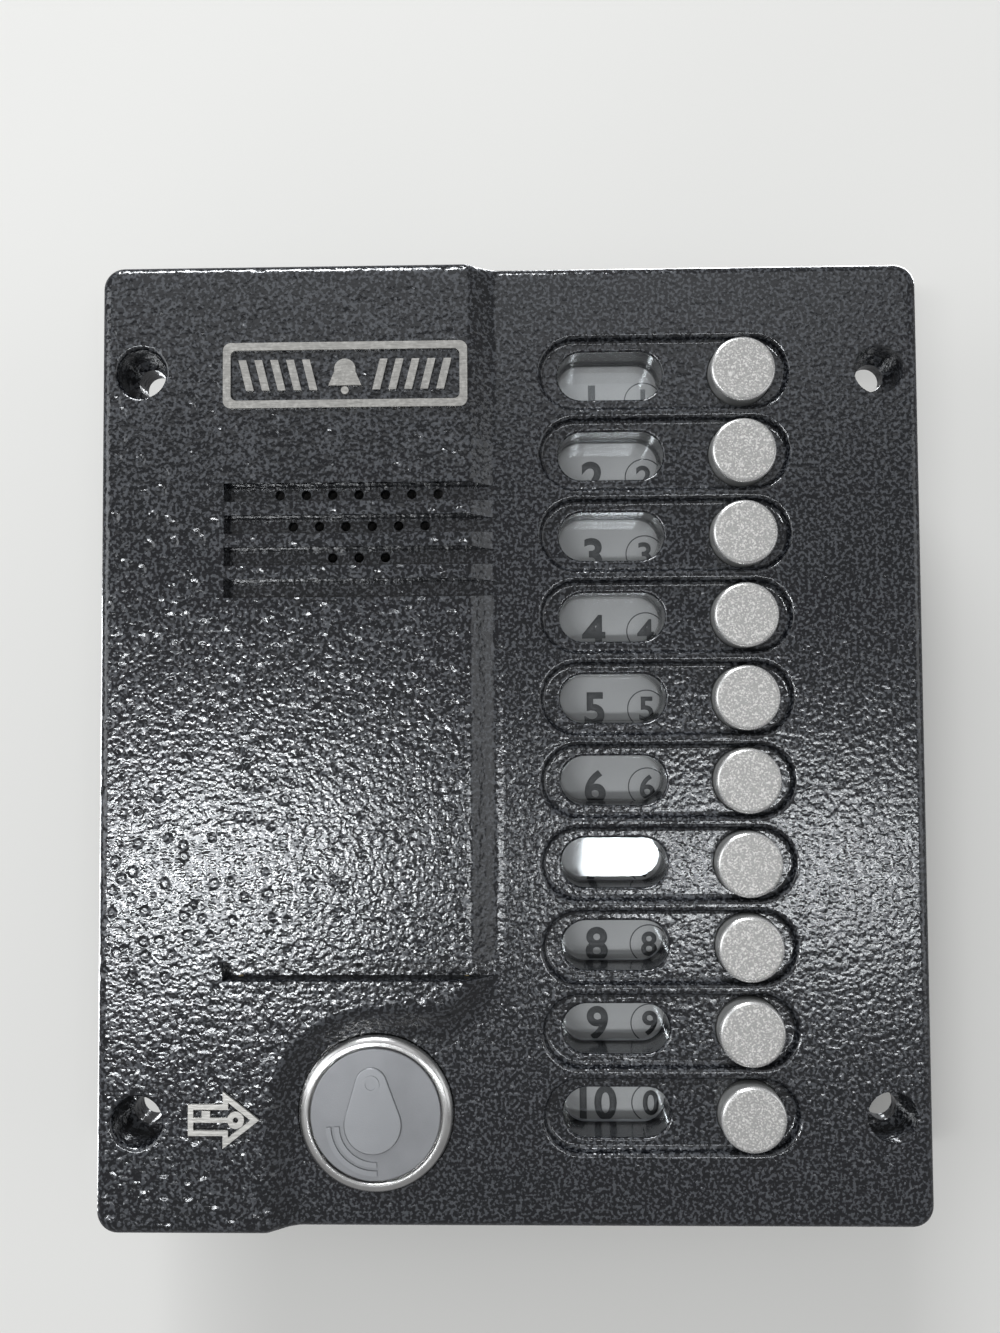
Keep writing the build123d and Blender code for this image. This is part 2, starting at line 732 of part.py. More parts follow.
with BuildPart() as speaker_frame:
    with BuildSketch(speaker):
        with BuildLine():
            Polyline((speaker_throat_r - 1, speaker_face), (speaker_rim_r, speaker_face),
                     (speaker_rim_r, speaker_flange_back), (speaker_throat_r - 0.2, speaker_flange_back),
                     (magnet_d / 2, speaker_base), (0, speaker_base),
                     (0, speaker_base - speaker_wall), (magnet_d / 2 - 0.4, speaker_base - speaker_wall),
                     (speaker_throat_r - 1, speaker_flange_back - 0.3), close=True)
        make_face()
    revolve(axis=speaker_axis)
    with BuildSketch(front(speaker_base - speaker_wall - 0.2)):
        with Locations((speaker_x, speaker_z)):
            with PolarLocations((magnet_d / 2 + speaker_throat_r) / 2 + 0.2, 4):
                Rectangle(3.6, 9)
    extrude(amount=speaker_depth - speaker_flange_t - speaker_wall - 0.6, mode=Mode.SUBTRACT)
finish(speaker_frame, "speaker_frame")

with BuildPart() as speaker_cone:
    cone_r, cone_t = speaker_throat_r - 1.3, 0.4
    cone_face, cone_base = speaker_face + 0.1, speaker_base - speaker_wall - 1.4
    cone_front = [(0, cone_base - 1.7), (2.6, cone_base - 1.4), (4.6, cone_base - 0.8), (5.5, cone_base),
                  (cone_r, cone_face)]
    cone_rear = [(r, y + cone_t) for r, y in reversed(cone_front)]
    with BuildSketch(speaker):
        with BuildLine():
            Polyline(*cone_front, *cone_rear, close=True)
        make_face()
    revolve(axis=speaker_axis)
finish(speaker_cone, "speaker_cone")

with BuildPart() as speaker_magnet:
    with BuildSketch(back(speaker_base)):
        with Locations((-speaker_x, speaker_z)):
            Circle(magnet_d / 2)
    extrude(amount=magnet_t)
    chamfer(speaker_magnet.faces().sort_by(Axis.Y)[-1].edges(), 0.6)
finish(speaker_magnet, "speaker_magnet")

with BuildPart() as speaker_clamps:
    with BuildSketch(back(speaker_flange_back)):
        with Locations((-speaker_x, speaker_z)):
            with PolarLocations(speaker_boss_reach - 1.0, 4, start_angle=45):
                RectangleRounded(7.6, boss_d, 1)
            with PolarLocations(speaker_boss_reach, 4, start_angle=45):
                Circle(m25_core_d / 2 + screw_clear, mode=Mode.SUBTRACT)
    extrude(amount=clamp_t)
finish(speaker_clamps, "speaker_clamps")

# ---- microphone ----------------------------------------------------------------------------------
with BuildPart() as microphone_boot:
    with BuildSketch(front(-raised_skin + boot_front_t + capsule_t + 0.2)):
        with Locations((mic_x, mic_axis_z)):
            Circle(boot_d / 2)
    extrude(amount=boot_front_t + capsule_t + 0.2)
    with BuildSketch(front(-raised_skin + boot_front_t + capsule_t + 0.2)):
        with Locations((mic_x, mic_axis_z)):
            Circle(capsule_d / 2 + 0.05)
    extrude(amount=capsule_t + 0.2, mode=Mode.SUBTRACT)
    with BuildSketch(front(-raised_skin + boot_front_t)):
        with Locations((mic_x, mic_axis_z)):
            Circle(mic_hole_d)
    extrude(amount=boot_front_t, mode=Mode.SUBTRACT)
finish(microphone_boot, "microphone_boot")

with BuildPart() as microphone_capsule:
    with BuildSketch(back(-raised_skin + boot_front_t)):
        with Locations((-mic_x, mic_axis_z)):
            Circle(capsule_d / 2)
    extrude(amount=capsule_t)
    fillet(microphone_capsule.edges().filter_by(GeomType.CIRCLE), 0.4)
finish(microphone_capsule, "microphone_capsule")

# ---- label windows -------------------------------------------------------------------------------
window_places = [(window_x, z) for z in row_z]

with BuildPart() as window_seal:
    with BuildSketch(front(lens_face)):
        with Locations((window_x, 0)):
            Rectangle(lens_w, strip_h)
        with Locations(window_places):
            SlotOverall(window_w, window_h, mode=Mode.SUBTRACT)
    extrude(amount=window_seal_t)
finish(window_seal, "window_seal")

with BuildPart() as window_lens:
    with BuildSketch(front(card_face - face_gap)):
        with Locations((window_x, 0)):
            Rectangle(lens_w, strip_h)
    extrude(amount=lens_t)
    with BuildSketch(front(lens_face)):
        with Locations(window_places):
            SlotOverall(window_w - 2 * slip, window_h - 2 * slip)
    extrude(amount=window_seal_t + lens_pad_depth)
    fillet(window_lens.faces().filter_by(Plane.XZ).group_by(Axis.Y)[0].edges(), 0.5)
finish(window_lens, "window_lens")

with BuildPart() as label_card:
    with BuildSketch(front(diffuser_face)):
        with Locations((window_x, 0)):
            Rectangle(lens_w - 1, strip_h - 1)
    extrude(amount=card_t)
finish(label_card, "label_card")

with BuildPart() as label_diffuser:
    with BuildSketch(front(clamp_face)):
        with Locations((window_x, 0)):
            Rectangle(lens_w, strip_h)
    extrude(amount=diffuser_t)
finish(label_diffuser, "label_diffuser")

# ---- buttons -------------------------------------------------------------------------------------
guide_back = guide_face + guide_t
clamp_back = clamp_face + guide_t
guide_screws = [(guide_screw_right_x, z) for z in guide_screw_z]
clamp_screws = [(guide_screw_left_x, z) for z in guide_screw_z]

with BuildPart() as button_guide:
    with BuildSketch(front(guide_back)):
        with Locations(((guide_step_x + guide_right) / 2, 0)):
            Rectangle(guide_right - guide_step_x, 2 * board_half_h)
    extrude(amount=guide_t)
    with BuildSketch(front(clamp_back)):
        with Locations(((guide_left + guide_step_x) / 2, 0)):
            Rectangle(guide_step_x - guide_left, 2 * board_half_h)
    extrude(amount=guide_t)
    with BuildSketch(front(clamp_back)):
        with Locations((guide_step_x - guide_t / 2, 0)):
            Rectangle(guide_t, 2 * board_half_h)
    extrude(amount=clamp_back - guide_face)
    with BuildSketch(front(button_board_face)):
        with Locations([place for place in board_posts if place[0] > guide_step_x]):
            Circle(boss_d / 2)
    extrude(amount=button_board_face - guide_back)
    with BuildSketch(front(button_board_face)):
        with Locations([place for place in board_posts if place[0] < guide_step_x]):
            Circle(boss_d / 2)
    extrude(amount=button_board_face - clamp_back)
    with BuildSketch(front(button_board_face)):
        with Locations(board_posts):
            Circle(m25_core_d / 2)
    extrude(amount=m25_grip, mode=Mode.SUBTRACT)
    with BuildSketch(front(clamp_back)):
        with Locations(window_places):
            SlotOverall(window_w - 3, window_h - 2)
        with Locations([(button_x, z) for z in row_z]):
            Circle(stem_d / 2 + guide_clear)
        with Locations(guide_screws + clamp_screws):
            Circle(m25_core_d / 2 + screw_clear)
    extrude(amount=clamp_back - guide_face + 1, mode=Mode.SUBTRACT)
finish(button_guide, "button_guide")

button_top = plate_face - cap_proud
for row, z in enumerate(row_z, start=1):
    with BuildPart() as button:
        with BuildSketch(front(flange_back)):
            with Locations((button_x, z)):
                Circle(flange_d / 2)
        extrude(amount=flange_t)
        with BuildSketch(front(flange_face)):
            with Locations((button_x, z)):
                Circle(cap_d / 2)
        extrude(amount=flange_face - button_top)
        fillet(button.faces().sort_by(Axis.Y)[0].edges(), cap_edge_r)
        with BuildSketch(back(flange_back)):
            with Locations((-button_x, z)):
                Circle(stem_d / 2)
        extrude(amount=stem_tip - flange_back)
        chamfer(button.faces().sort_by(Axis.Y)[-1].edges(), 0.4)
    finish(button, f"button_{row:02d}")

    with BuildPart() as spring:
        coil_h = spring_gap - spring_wire - 2 * face_gap
        coil = Helix(coil_h / spring_turns, coil_h, spring_coil_d / 2, direction=(0, 1, 0),
                     center=(button_x, flange_back + spring_wire / 2 + face_gap, z))
        with BuildSketch(Plane(origin=coil @ 0, z_dir=coil % 0)):
            Circle(spring_wire / 2)
        sweep(path=coil, is_frenet=True)
    finish(spring, f"button_spring_{row:02d}")

with BuildPart() as tact_switches:
    with BuildSketch(front(button_board_face)):
        with Locations([(button_x, z) for z in row_z]):
            Rectangle(switch_side, switch_side)
    extrude(amount=switch_body_t)
    with BuildSketch(front(button_board_face - switch_body_t)):
        with Locations([(button_x, z) for z in row_z]):
            Circle(switch_plunger_d / 2)
    extrude(amount=switch_plunger_t)
finish(tact_switches, "tact_switches")

with BuildPart() as label_leds:
    with BuildSketch(front(button_board_face)):
        with Locations([(window_x + side * window_w / 4, z) for z in row_z for side in (1, -1)]):
            Rectangle(3, 1.8)
    extrude(amount=1)
finish(label_leds, "label_leds")

with BuildPart() as button_board:
    with BuildSketch(front(button_board_back)):
        with Locations(((board_left + board_right) / 2, 0)):
            Rectangle(board_right - board_left, 2 * board_half_h)
        with Locations(board_posts):
            Circle(m25_core_d / 2 + screw_clear, mode=Mode.SUBTRACT)
    extrude(amount=board_t)
finish(button_board, "button_board")

speaker_screws = [(speaker_x + speaker_boss_reach * cos(radians(a)),
                   speaker_z + speaker_boss_reach * sin(radians(a))) for a in (45, 135, 225, 315)]
small_screw_groups = [
    pan_screws(places, seat, m25_head_d, m25_head_t, m25_core_d - 2 * thread_gap, grip + m25_grip - hole_end)
    for places, seat, grip in ((guide_screws, guide_back, guide_t), (clamp_screws, clamp_back, guide_t),
                               (board_posts, button_board_back, board_t),
                               (speaker_screws, speaker_flange_back + clamp_t, clamp_t))]
with BuildPart() as small_screws:
    for group in small_screw_groups:
        add(group)
finish(small_screws, "small_screws")

# ---- main board ----------------------------------------------------------------------------------
with BuildPart() as main_board:
    with BuildSketch(front(main_board_back)):
        with Locations((main_board_x, main_board_z)):
            RectangleRounded(main_board_w, main_board_h, 1.5)
        with Locations(spacer_places):
            Circle(1.5 + screw_clear, mode=Mode.SUBTRACT)
    extrude(amount=board_t)
finish(main_board, "main_board")

with BuildPart() as board_spacers:
    with BuildSketch(front(main_board_face)):
        with Locations(spacer_places):
            RegularPolygon(spacer_across / 2, 6, major_radius=False)
            Circle(m3_core_d / 2, mode=Mode.SUBTRACT)
    extrude(amount=main_board_face + raised_skin)
    with BuildSketch(front(-raised_skin + 2)):
        with Locations(spacer_places):
            Circle(m3_core_d / 2 - thread_gap)
    extrude(amount=2 + spacer_stud - 0.3)
finish(board_spacers, "board_spacers")

main_board_screw_group = pan_screws(spacer_places, main_board_back, m3_head_d, m3_head_t,
                                    m3_core_d - 2 * thread_gap, board_t + m3_grip)
with BuildPart() as main_board_screws:
    add(main_board_screw_group)
finish(main_board_screws, "main_board_screws")

terminal_z = main_board_z - main_board_h / 2 + terminal_depth / 2 + 3
terminal_x = [main_board_x + (i - (terminal_poles - 1) / 2) * terminal_pitch for i in range(terminal_poles)]
terminal_back = main_board_back + terminal_t
with BuildPart() as terminal_block:
    with BuildSketch(back(main_board_back)):
        with Locations((-main_board_x, terminal_z)):
            Rectangle(terminal_poles * terminal_pitch, terminal_depth)
    extrude(amount=terminal_t)
    chamfer(terminal_block.faces().sort_by(Axis.Y)[-1].edges().filter_by(Axis.X), 1)
    with BuildSketch(back(terminal_back - 2.5)):
        with Locations([(-x, terminal_z) for x in terminal_x]):
            Circle(terminal_screw_d / 2 + slip)
    extrude(amount=3, mode=Mode.SUBTRACT)
    with BuildSketch(Plane.XY.offset(terminal_z - terminal_depth / 2 + 3)):
        with Locations([(x, main_board_back + 3.5) for x in terminal_x]):
            Rectangle(3, 3.4)
    extrude(amount=-4, mode=Mode.SUBTRACT)
finish(terminal_block, "terminal_block")

with BuildPart() as terminal_screws:
    with BuildSketch(back(terminal_back - 2.5)):
        with Locations([(-x, terminal_z) for x in terminal_x]):
            Circle(terminal_screw_d / 2)
    extrude(amount=1.6)
    with BuildSketch(back(terminal_back - 1.5)):
        with Locations([(-x, terminal_z) for x in terminal_x]):
            Rectangle(terminal_screw_d + 0.2, 0.7)
    extrude(amount=1, mode=Mode.SUBTRACT)
finish(terminal_screws, "terminal_screws")

with BuildPart() as capacitors:
    for x, z, r, height in capacitor_places:
        with BuildSketch(back(main_board_back)):
            with Locations((-(main_board_x + x), main_board_z + z)):
                Circle(r)
        extrude(amount=height)
finish(capacitors, "capacitors")

with BuildPart() as chips:
    for x, z, width, length, height, legs in chip_places:
        place = (-(main_board_x + x), main_board_z + z)
        with BuildSketch(back(main_board_back + 0.15)):
            with Locations(place):
                Rectangle(width, length)
        extrude(amount=height)
        with BuildSketch(back(main_board_back)):
            with Locations(place):
                with GridLocations(width + 1, 1.1, 2, legs):
                    Rectangle(1.6, 0.45)
        extrude(amount=0.5)
finish(chips, "chips")

with BuildPart() as lock_relay:
    with BuildSketch(back(main_board_back)):
        with Locations((-(main_board_x + relay_place[0]), main_board_z + relay_place[1])):
            Rectangle(relay_w, relay_h)
    extrude(amount=relay_t)
    fillet(lock_relay.faces().sort_by(Axis.Y)[-1].edges(), 0.5)
finish(lock_relay, "lock_relay")

trimmer_x, trimmer_z = main_board_x - 16, main_board_z - 14
trimmer_back = main_board_back + trimmer_t
with BuildPart() as trimmer_body:
    with BuildSketch(back(main_board_back)):
        with Locations((-trimmer_x, trimmer_z)):
            Rectangle(trimmer_side, trimmer_side)
    extrude(amount=trimmer_t)
    with BuildSketch(back(trimmer_back - trimmer_rotor_t)):
        with Locations((-trimmer_x, trimmer_z)):
            Circle(trimmer_rotor_d / 2 + guide_clear)
    extrude(amount=trimmer_rotor_t, mode=Mode.SUBTRACT)
finish(trimmer_body, "trimmer_body")

with BuildPart() as trimmer_rotor:
    with BuildSketch(back(trimmer_back - trimmer_rotor_t + face_gap)):
        with Locations((-trimmer_x, trimmer_z)):
            Circle(trimmer_rotor_d / 2)
    extrude(amount=trimmer_rotor_t)
    with BuildSketch(back(trimmer_back - trimmer_rotor_t / 2)):
        with Locations((-trimmer_x, trimmer_z)):
            Rectangle(trimmer_rotor_d + 0.2, 0.6)
    extrude(amount=trimmer_rotor_t, mode=Mode.SUBTRACT)
finish(trimmer_rotor, "trimmer_rotor")

# ---- link between the boards ---------------------------------------------------------------------
link_z = main_board_z
plug_x = main_board_x + main_board_w / 2 - 4
plug_back = main_board_back + 6
socket_left = board_left + 3
socket_t = 3.2
ribbon_y = button_board_back + socket_t / 2
with BuildPart() as board_headers:
    with BuildSketch(back(main_board_back)):
        with Locations((-plug_x, link_z)):
            Rectangle(5, ribbon_w + 3)
    extrude(amount=plug_back - main_board_back)
    with BuildSketch(back(button_board_back)):
        with Locations((-socket_left - 2.5, link_z)):
            Rectangle(5, ribbon_w + 3)
    extrude(amount=socket_t)
finish(board_headers, "board_headers")

with BuildPart() as board_ribbon:
    with BuildSketch(Plane.XY.offset(link_z - ribbon_w / 2)):
        with BuildLine():
            FilletPolyline((plug_x, plug_back), (plug_x, ribbon_y), (socket_left, ribbon_y),
                           radius=ribbon_bend_r)
        trace(line_width=ribbon_t)
    extrude(amount=ribbon_w)
    with BuildSketch(back(plug_back)):
        Rectangle(panel_w, panel_h)
    extrude(amount=cover_depth, mode=Mode.INTERSECT)
    with BuildSketch(front(cover_back)):
        with Locations((socket_left - panel_w / 2, link_z)):
            Rectangle(panel_w, panel_h)
    extrude(amount=cover_depth, mode=Mode.INTERSECT)
finish(board_ribbon, "board_ribbon")

# ---- rear cover ----------------------------------------------------------------------------------
cover_screws = [(sx * cover_screw_x, sz * cover_screw_z) for sx in (1, -1) for sz in (1, -1)]
with BuildPart() as rear_seal:
    with BuildSketch(front(0)):
        RectangleRounded(cover_w, cover_h, cover_corner_r)
        RectangleRounded(2 * inner_half_w, 2 * inner_half_h, cover_corner_r - cover_wall,
                         mode=Mode.SUBTRACT)
        with Locations(cover_screws):
            Circle(cover_boss_d / 2 + slip, mode=Mode.SUBTRACT)
    extrude(amount=seal_t)
finish(rear_seal, "rear_seal")

with BuildPart() as rear_cover:
    with BuildSketch(back(0)):
        RectangleRounded(cover_w, cover_h, cover_corner_r)
    extrude(amount=cover_depth)
    fillet(rear_cover.faces().sort_by(Axis.Y)[-1].edges(), 2.5)
    with BuildSketch(back(0)):
        RectangleRounded(cover_w - 2 * cover_wall, cover_h - 2 * cover_wall, cover_corner_r - cover_wall)
    extrude(amount=cover_depth - cover_wall, mode=Mode.SUBTRACT)
    with BuildSketch(back(0)):
        with Locations([(-x, z) for x, z in cover_screws]):
            Circle(well_bore_d / 2 + well_wall)
    extrude(amount=cover_depth - 0.5)
    with BuildSketch(back(well_floor)):
        with Locations([(-x, z) for x, z in cover_screws]):
            Circle(well_bore_d / 2)
    extrude(amount=cover_depth, mode=Mode.SUBTRACT)
    with BuildSketch(back(0)):
        with Locations([(-x, z) for x, z in cover_screws]):
            Circle(m3_core_d / 2 + 0.25 + screw_clear)
        with Locations((-grommet_x, grommet_z)):
            Circle(grommet_neck_d / 2)
    extrude(amount=cover_depth + 1, mode=Mode.SUBTRACT)
finish(rear_cover, "rear_cover")

cover_screw_group = pan_screws(cover_screws, well_floor, m3_head_d, m3_head_t, m3_core_d - 2 * thread_gap,
                               well_floor + m3_grip - hole_end)
with BuildPart() as rear_cover_screws:
    add(cover_screw_group)
finish(rear_cover_screws, "rear_cover_screws")

with BuildPart() as cable_grommet:
    with BuildSketch(turned(grommet_x, grommet_z)):
        with BuildLine():
            bore, neck, lip = cable_bore_d / 2, grommet_neck_d / 2, grommet_flange_d / 2
            inside = cover_back - cover_wall
            Polyline((bore, inside - grommet_lip_t), (lip, inside - grommet_lip_t), (lip, inside),
                     (neck, inside), (neck, cover_back), (lip, cover_back),
                     (lip - grommet_bevel, cover_back + grommet_lip_t),
                     (bore, cover_back + grommet_lip_t), close=True)
        make_face()
    revolve(axis=centre_line(grommet_x, grommet_z))
finish(cable_grommet, "cable_grommet")
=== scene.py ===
"""Finishes, printed labels and stage for a ten-button door intercom panel.

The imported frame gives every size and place. Lengths are in metres, X runs right, Z up, and the front
faces -Y.
"""

import math

import bmesh
import bpy
from bpy.props import FloatProperty, FloatVectorProperty, PointerProperty
from mathutils import Matrix, Vector


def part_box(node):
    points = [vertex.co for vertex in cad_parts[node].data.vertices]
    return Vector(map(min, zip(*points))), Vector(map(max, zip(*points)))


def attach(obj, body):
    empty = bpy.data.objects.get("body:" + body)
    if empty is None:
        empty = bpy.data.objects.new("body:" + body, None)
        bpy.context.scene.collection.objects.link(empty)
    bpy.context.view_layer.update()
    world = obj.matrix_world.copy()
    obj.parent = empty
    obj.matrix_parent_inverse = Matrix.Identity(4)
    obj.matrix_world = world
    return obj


bl_info = {
    "name": "Door intercom panel",
    "version": (1, 0, 0),
    "blender": (4, 5, 0),
    "location": "View3D > Sidebar > Intercom",
    "description": "Finishes, printed labels and stage for a cast door intercom panel",
    "category": "Object",
}

MM = 0.001
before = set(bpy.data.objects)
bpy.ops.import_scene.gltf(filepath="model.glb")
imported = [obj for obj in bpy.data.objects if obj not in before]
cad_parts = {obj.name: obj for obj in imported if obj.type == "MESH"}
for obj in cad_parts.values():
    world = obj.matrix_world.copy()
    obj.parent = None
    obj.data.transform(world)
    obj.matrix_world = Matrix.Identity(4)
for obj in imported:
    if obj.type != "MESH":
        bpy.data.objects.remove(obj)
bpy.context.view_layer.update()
BUTTONS = sorted(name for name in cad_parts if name.startswith("button_") and name[-2:].isdigit()
                 and "spring" not in name)
SPRINGS = sorted(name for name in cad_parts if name.startswith("button_spring_"))


def middle(node):
    """Centre of a node's box."""
    low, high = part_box(node)
    return (low + high) / 2


def front_of(node):
    """Depth of a node's nearest point to the front."""
    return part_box(node)[0].y


RELIEF_TOP = front_of("front_casting")  # top of the badge and the arrow
BLOCK_TOP = RELIEF_TOP + 0.6 * MM  # face of the raised block on the left
PLATE_FACE = BLOCK_TOP + 3.0 * MM  # plain face round the buttons
RECESS_FLOOR = PLATE_FACE + 1.7 * MM
BUTTON_TOP = front_of(BUTTONS[0])
READER = middle("reader_bezel")
DISC_TOP = front_of("reader_cap")
WINDOW_X = middle("window_lens").x
WINDOW_HALF = 10.4 * MM  # from a window's middle to just past its rounded rim
CARD_FRONT = front_of("label_card")
BACK_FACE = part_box("rear_cover")[1].y


# ---- shader values as formulas ----------------------------------------------------------------------------
class Value:
    """A shader socket that can stand in a formula: every operator adds its Math node."""

    def __init__(self, finish, socket):
        self.finish, self.socket = finish, socket

    def math(self, operation, *values):
        """One Math node on these values, in this order."""
        return self.finish.node("ShaderNodeMath", {"operation": operation}, dict(enumerate(values)))

    def __add__(self, other):
        return self.math("ADD", self, other)

    __radd__ = __add__

    def __sub__(self, other):
        return self.math("SUBTRACT", self, other)

    def __rsub__(self, other):
        return self.math("SUBTRACT", other, self)

    def __mul__(self, other):
        return self.math("MULTIPLY", self, other)

    __rmul__ = __mul__

    def __pow__(self, other):
        return self.math("POWER", self, other)

    def __abs__(self):
        return self.math("ABSOLUTE", self)

    def sine(self):
        """Sine of the value."""
        return self.math("SINE", self)

    def ramp(self, start, end, low=0.0, high=1.0):
        """Goes smoothly from low at start to high at end, and stays there."""
        return self.finish.node(
            "ShaderNodeMapRange", {"interpolation_type": "SMOOTHSTEP"},
            {"Value": self, "From Min": start, "From Max": end, "To Min": low, "To Max": high})


class Finish:
    """One material under construction."""

    def __init__(self, name):
        self.material = bpy.data.materials.new(name)
        self.material.use_nodes = True
        self.tree = self.material.node_tree
        self.tree.nodes.clear()

    def node(self, kind, settings=None, inputs=None, out=0):
        """Adds a node: its settings first, then its sockets, by name, identifier or number."""
        made = self.tree.nodes.new(kind)
        for key, value in (settings or {}).items():
            setattr(made, key, value)
        for key, value in (inputs or {}).items():
            socket = self.find(made.inputs, key)
            if isinstance(value, Value):
                self.tree.links.new(value.socket, socket)
            elif hasattr(socket.default_value, "__len__") and len(socket.default_value) == 4:
                socket.default_value = (*value, 1.0)[:4]
            else:
                socket.default_value = value
        return Value(self, self.find(made.outputs, out)) if made.outputs else None

    @staticmethod
    def find(sockets, key):
        """The socket of this number, identifier or name."""
        if isinstance(key, int):
            return sockets[key]
        for socket in sockets:
            if socket.identifier == key:
                return socket
        return sockets[key]

    def place(self):
        """The point on the piece, in the frame's metres."""
        return self.node("ShaderNodeTexCoord", out="Object")

    def split(self, vector):
        """A vector's three numbers."""
        made = self.node("ShaderNodeSeparateXYZ", None, {"Vector": vector})
        return [Value(self, socket) for socket in made.socket.node.outputs]

    def noise(self, vector, grain, detail=2.0):
        """Noise whose lumps are about a grain across, from 0 to 1."""
        return self.node("ShaderNodeTexNoise", {"noise_type": "FBM"},
                         {"Vector": vector, "Scale": 1.0 / grain, "Detail": detail, "Roughness": 0.5})

    def cells(self, vector, size, feature="F1", out="Distance", spread=1.0):
        """Voronoi cells of this size."""
        return self.node("ShaderNodeTexVoronoi", {"feature": feature},
                         {"Vector": vector, "Scale": 1.0 / size, "Randomness": spread}, out)

    def stretch(self, vector, scale):
        """The pattern's coordinates multiplied along each axis."""
        return self.node("ShaderNodeVectorMath", {"operation": "MULTIPLY"}, {0: vector, 1: scale})

    def mix(self, share, first, second):
        """A colour between two colours."""
        return self.node("ShaderNodeMix", {"data_type": "RGBA"},
                         {"Factor_Float": share, "A_Color": first, "B_Color": second}, "Result_Color")

    def bump(self, height, depth):
        """A normal bent by a height that runs from 0 to 1 over this depth."""
        return self.node("ShaderNodeBump", None, {"Height": height, "Distance": depth, "Strength": 1.0})

    @staticmethod
    def waves(along, pitch):
        """A sine that repeats at this pitch, from -1 to 1."""
        return (along * (2 * math.pi / pitch)).sine()

    def from_axis(self, place, centre):
        """Distance from a line along Y through a centre."""
        x, _, z = self.split(place)
        across, up = x - centre.x, z - centre.z
        return (across * across + up * up) ** 0.5

    def surface(self, **sockets):
        """Ends the material with a Principled shader. Socket names are written with underscores."""
        named = {key.replace("_", " "): value for key, value in sockets.items()}
        shader = self.node("ShaderNodeBsdfPrincipled", None, named)
        self.node("ShaderNodeOutputMaterial", None, {"Surface": shader})
        return self.material


# ---- finishes ---------------------------------------------------------------------------------------------
def hammertone_paint(look):
    """Glossy charcoal paint that has crept into lumps, with grey flecks that are partly painted glints,
    ground off the badge and arrow.
    """
    f = Finish("hammertone_paint")
    place = f.place()
    x, depth, _ = f.split(place)
    on_block = depth.ramp(PLATE_FACE - 1.0 * MM, BLOCK_TOP + 0.5 * MM)
    by_window = abs(x - WINDOW_X).ramp(WINDOW_HALF + 0.4 * MM, WINDOW_HALF)
    in_window = depth.ramp(RECESS_FLOOR + 0.2 * MM, RECESS_FLOOR + 0.8 * MM) * by_window
    worm = f.noise(place, 0.62 * MM, 1.0)
    # Grey flecks: partly the paint's own, partly painted glints of the room off the lumps.
    fleck = worm.ramp(0.47, 0.62) * (1 - in_window * 0.6)
    lump = f.noise(place, 1.1 * MM, 1.5)
    dimple = f.cells(place, 3.4 * MM).ramp(0.14, 0.36)
    lumps = worm * 0.14 + lump * (0.75 + on_block * 0.2) + dimple * on_block * 0.6
    height = lumps * (1 - in_window * 0.85)
    ragged = depth + (lump - 0.5) * 0.2 * MM
    ground = ragged.ramp(RELIEF_TOP + 0.4 * MM, RELIEF_TOP + 0.24 * MM)
    scratch = f.noise(f.stretch(place, (1.0, 1.0, 6.0)), 1.6 * MM, 4.0)
    paint = f.mix(fleck, look.paint, look.fleck)
    metal = f.mix(scratch.ramp(0.3, 0.75), look.ground_metal, [part * 0.72 for part in look.ground_metal])
    return f.surface(Base_Color=f.mix(ground, paint, metal), Metallic=ground, Specular_IOR_Level=0.9,
                     Roughness=look.paint_roughness + ground * 0.22 + fleck * 0.08,
                     Normal=f.bump(scratch * ground * 0.12 + height * (1 - ground), look.lump_height))


def turned_ring():
    """Bright turned metal: fine grooves round the reader's axis."""
    f = Finish("polished_ring")
    place = f.place()
    radius = f.from_axis(place, READER)
    groove = f.waves(radius, 0.18 * MM) * 0.5 + 0.5
    stain = f.noise(place, 5.0 * MM, 3.0)
    return f.surface(Base_Color=f.mix(stain.ramp(0.35, 0.7), (0.78, 0.77, 0.75), (0.62, 0.61, 0.6)),
                     Metallic=1.0, Roughness=0.17 + stain * 0.12,
                     Normal=f.bump(groove + f.noise(place, 0.5 * MM, 2.0) * 0.4, 0.006 * MM))


def satin_disc(look):
    """Satin grey disc with a fine grain, rubbed brighter on the raised lines."""
    f = Finish("satin_disc")
    place = f.place()
    _, depth, _ = f.split(place)
    grain = f.noise(place, 0.16 * MM, 2.0)
    cloud = f.noise(place, 9.0 * MM, 2.0)
    raised = (depth - DISC_TOP).ramp(0.32 * MM, 0.12 * MM)
    colour = f.mix(cloud.ramp(0.3, 0.7), look.disc, [part * 0.84 for part in look.disc])
    return f.surface(Base_Color=f.mix(raised * 0.35 + grain * 0.2, colour, (0.36, 0.365, 0.375)),
                     Metallic=0.75, Roughness=0.36 + grain * 0.12,
                     Normal=f.bump(grain, 0.02 * MM))


def blasted_metal(look):
    """Bead-blasted button: sparkling grain on the face, a smooth turned edge round it with a painted
    highlight, sides in painted shade.
    """
    f = Finish("blasted_metal")
    place = f.place()
    _, depth, _ = f.split(place)
    face = depth.ramp(BUTTON_TOP + 0.07 * MM, BUTTON_TOP + 0.03 * MM)
    edge = depth.ramp(BUTTON_TOP + 0.75 * MM, BUTTON_TOP + 0.5 * MM) * (1 - face)
    grain = f.noise(place, 0.3 * MM, 2.5)
    sparkle = f.split(f.cells(place, 0.24 * MM, out="Color"))[0].ramp(0.45, 1.0)
    # The turned edge is painted lighter as a highlight and the sides darker as shade; both are the same
    # metal as the face.
    body = f.mix(edge, look.button_side, look.button_edge)
    blasted = f.mix(sparkle, [part * 0.7 for part in look.button], [part * 1.3 for part in look.button])
    return f.surface(Base_Color=f.mix(face, body, blasted), Metallic=0.8,
                     Roughness=0.5 - edge * 0.28 + grain * 0.1,
                     Normal=f.bump(face * (grain + sparkle * 0.5), 0.05 * MM))


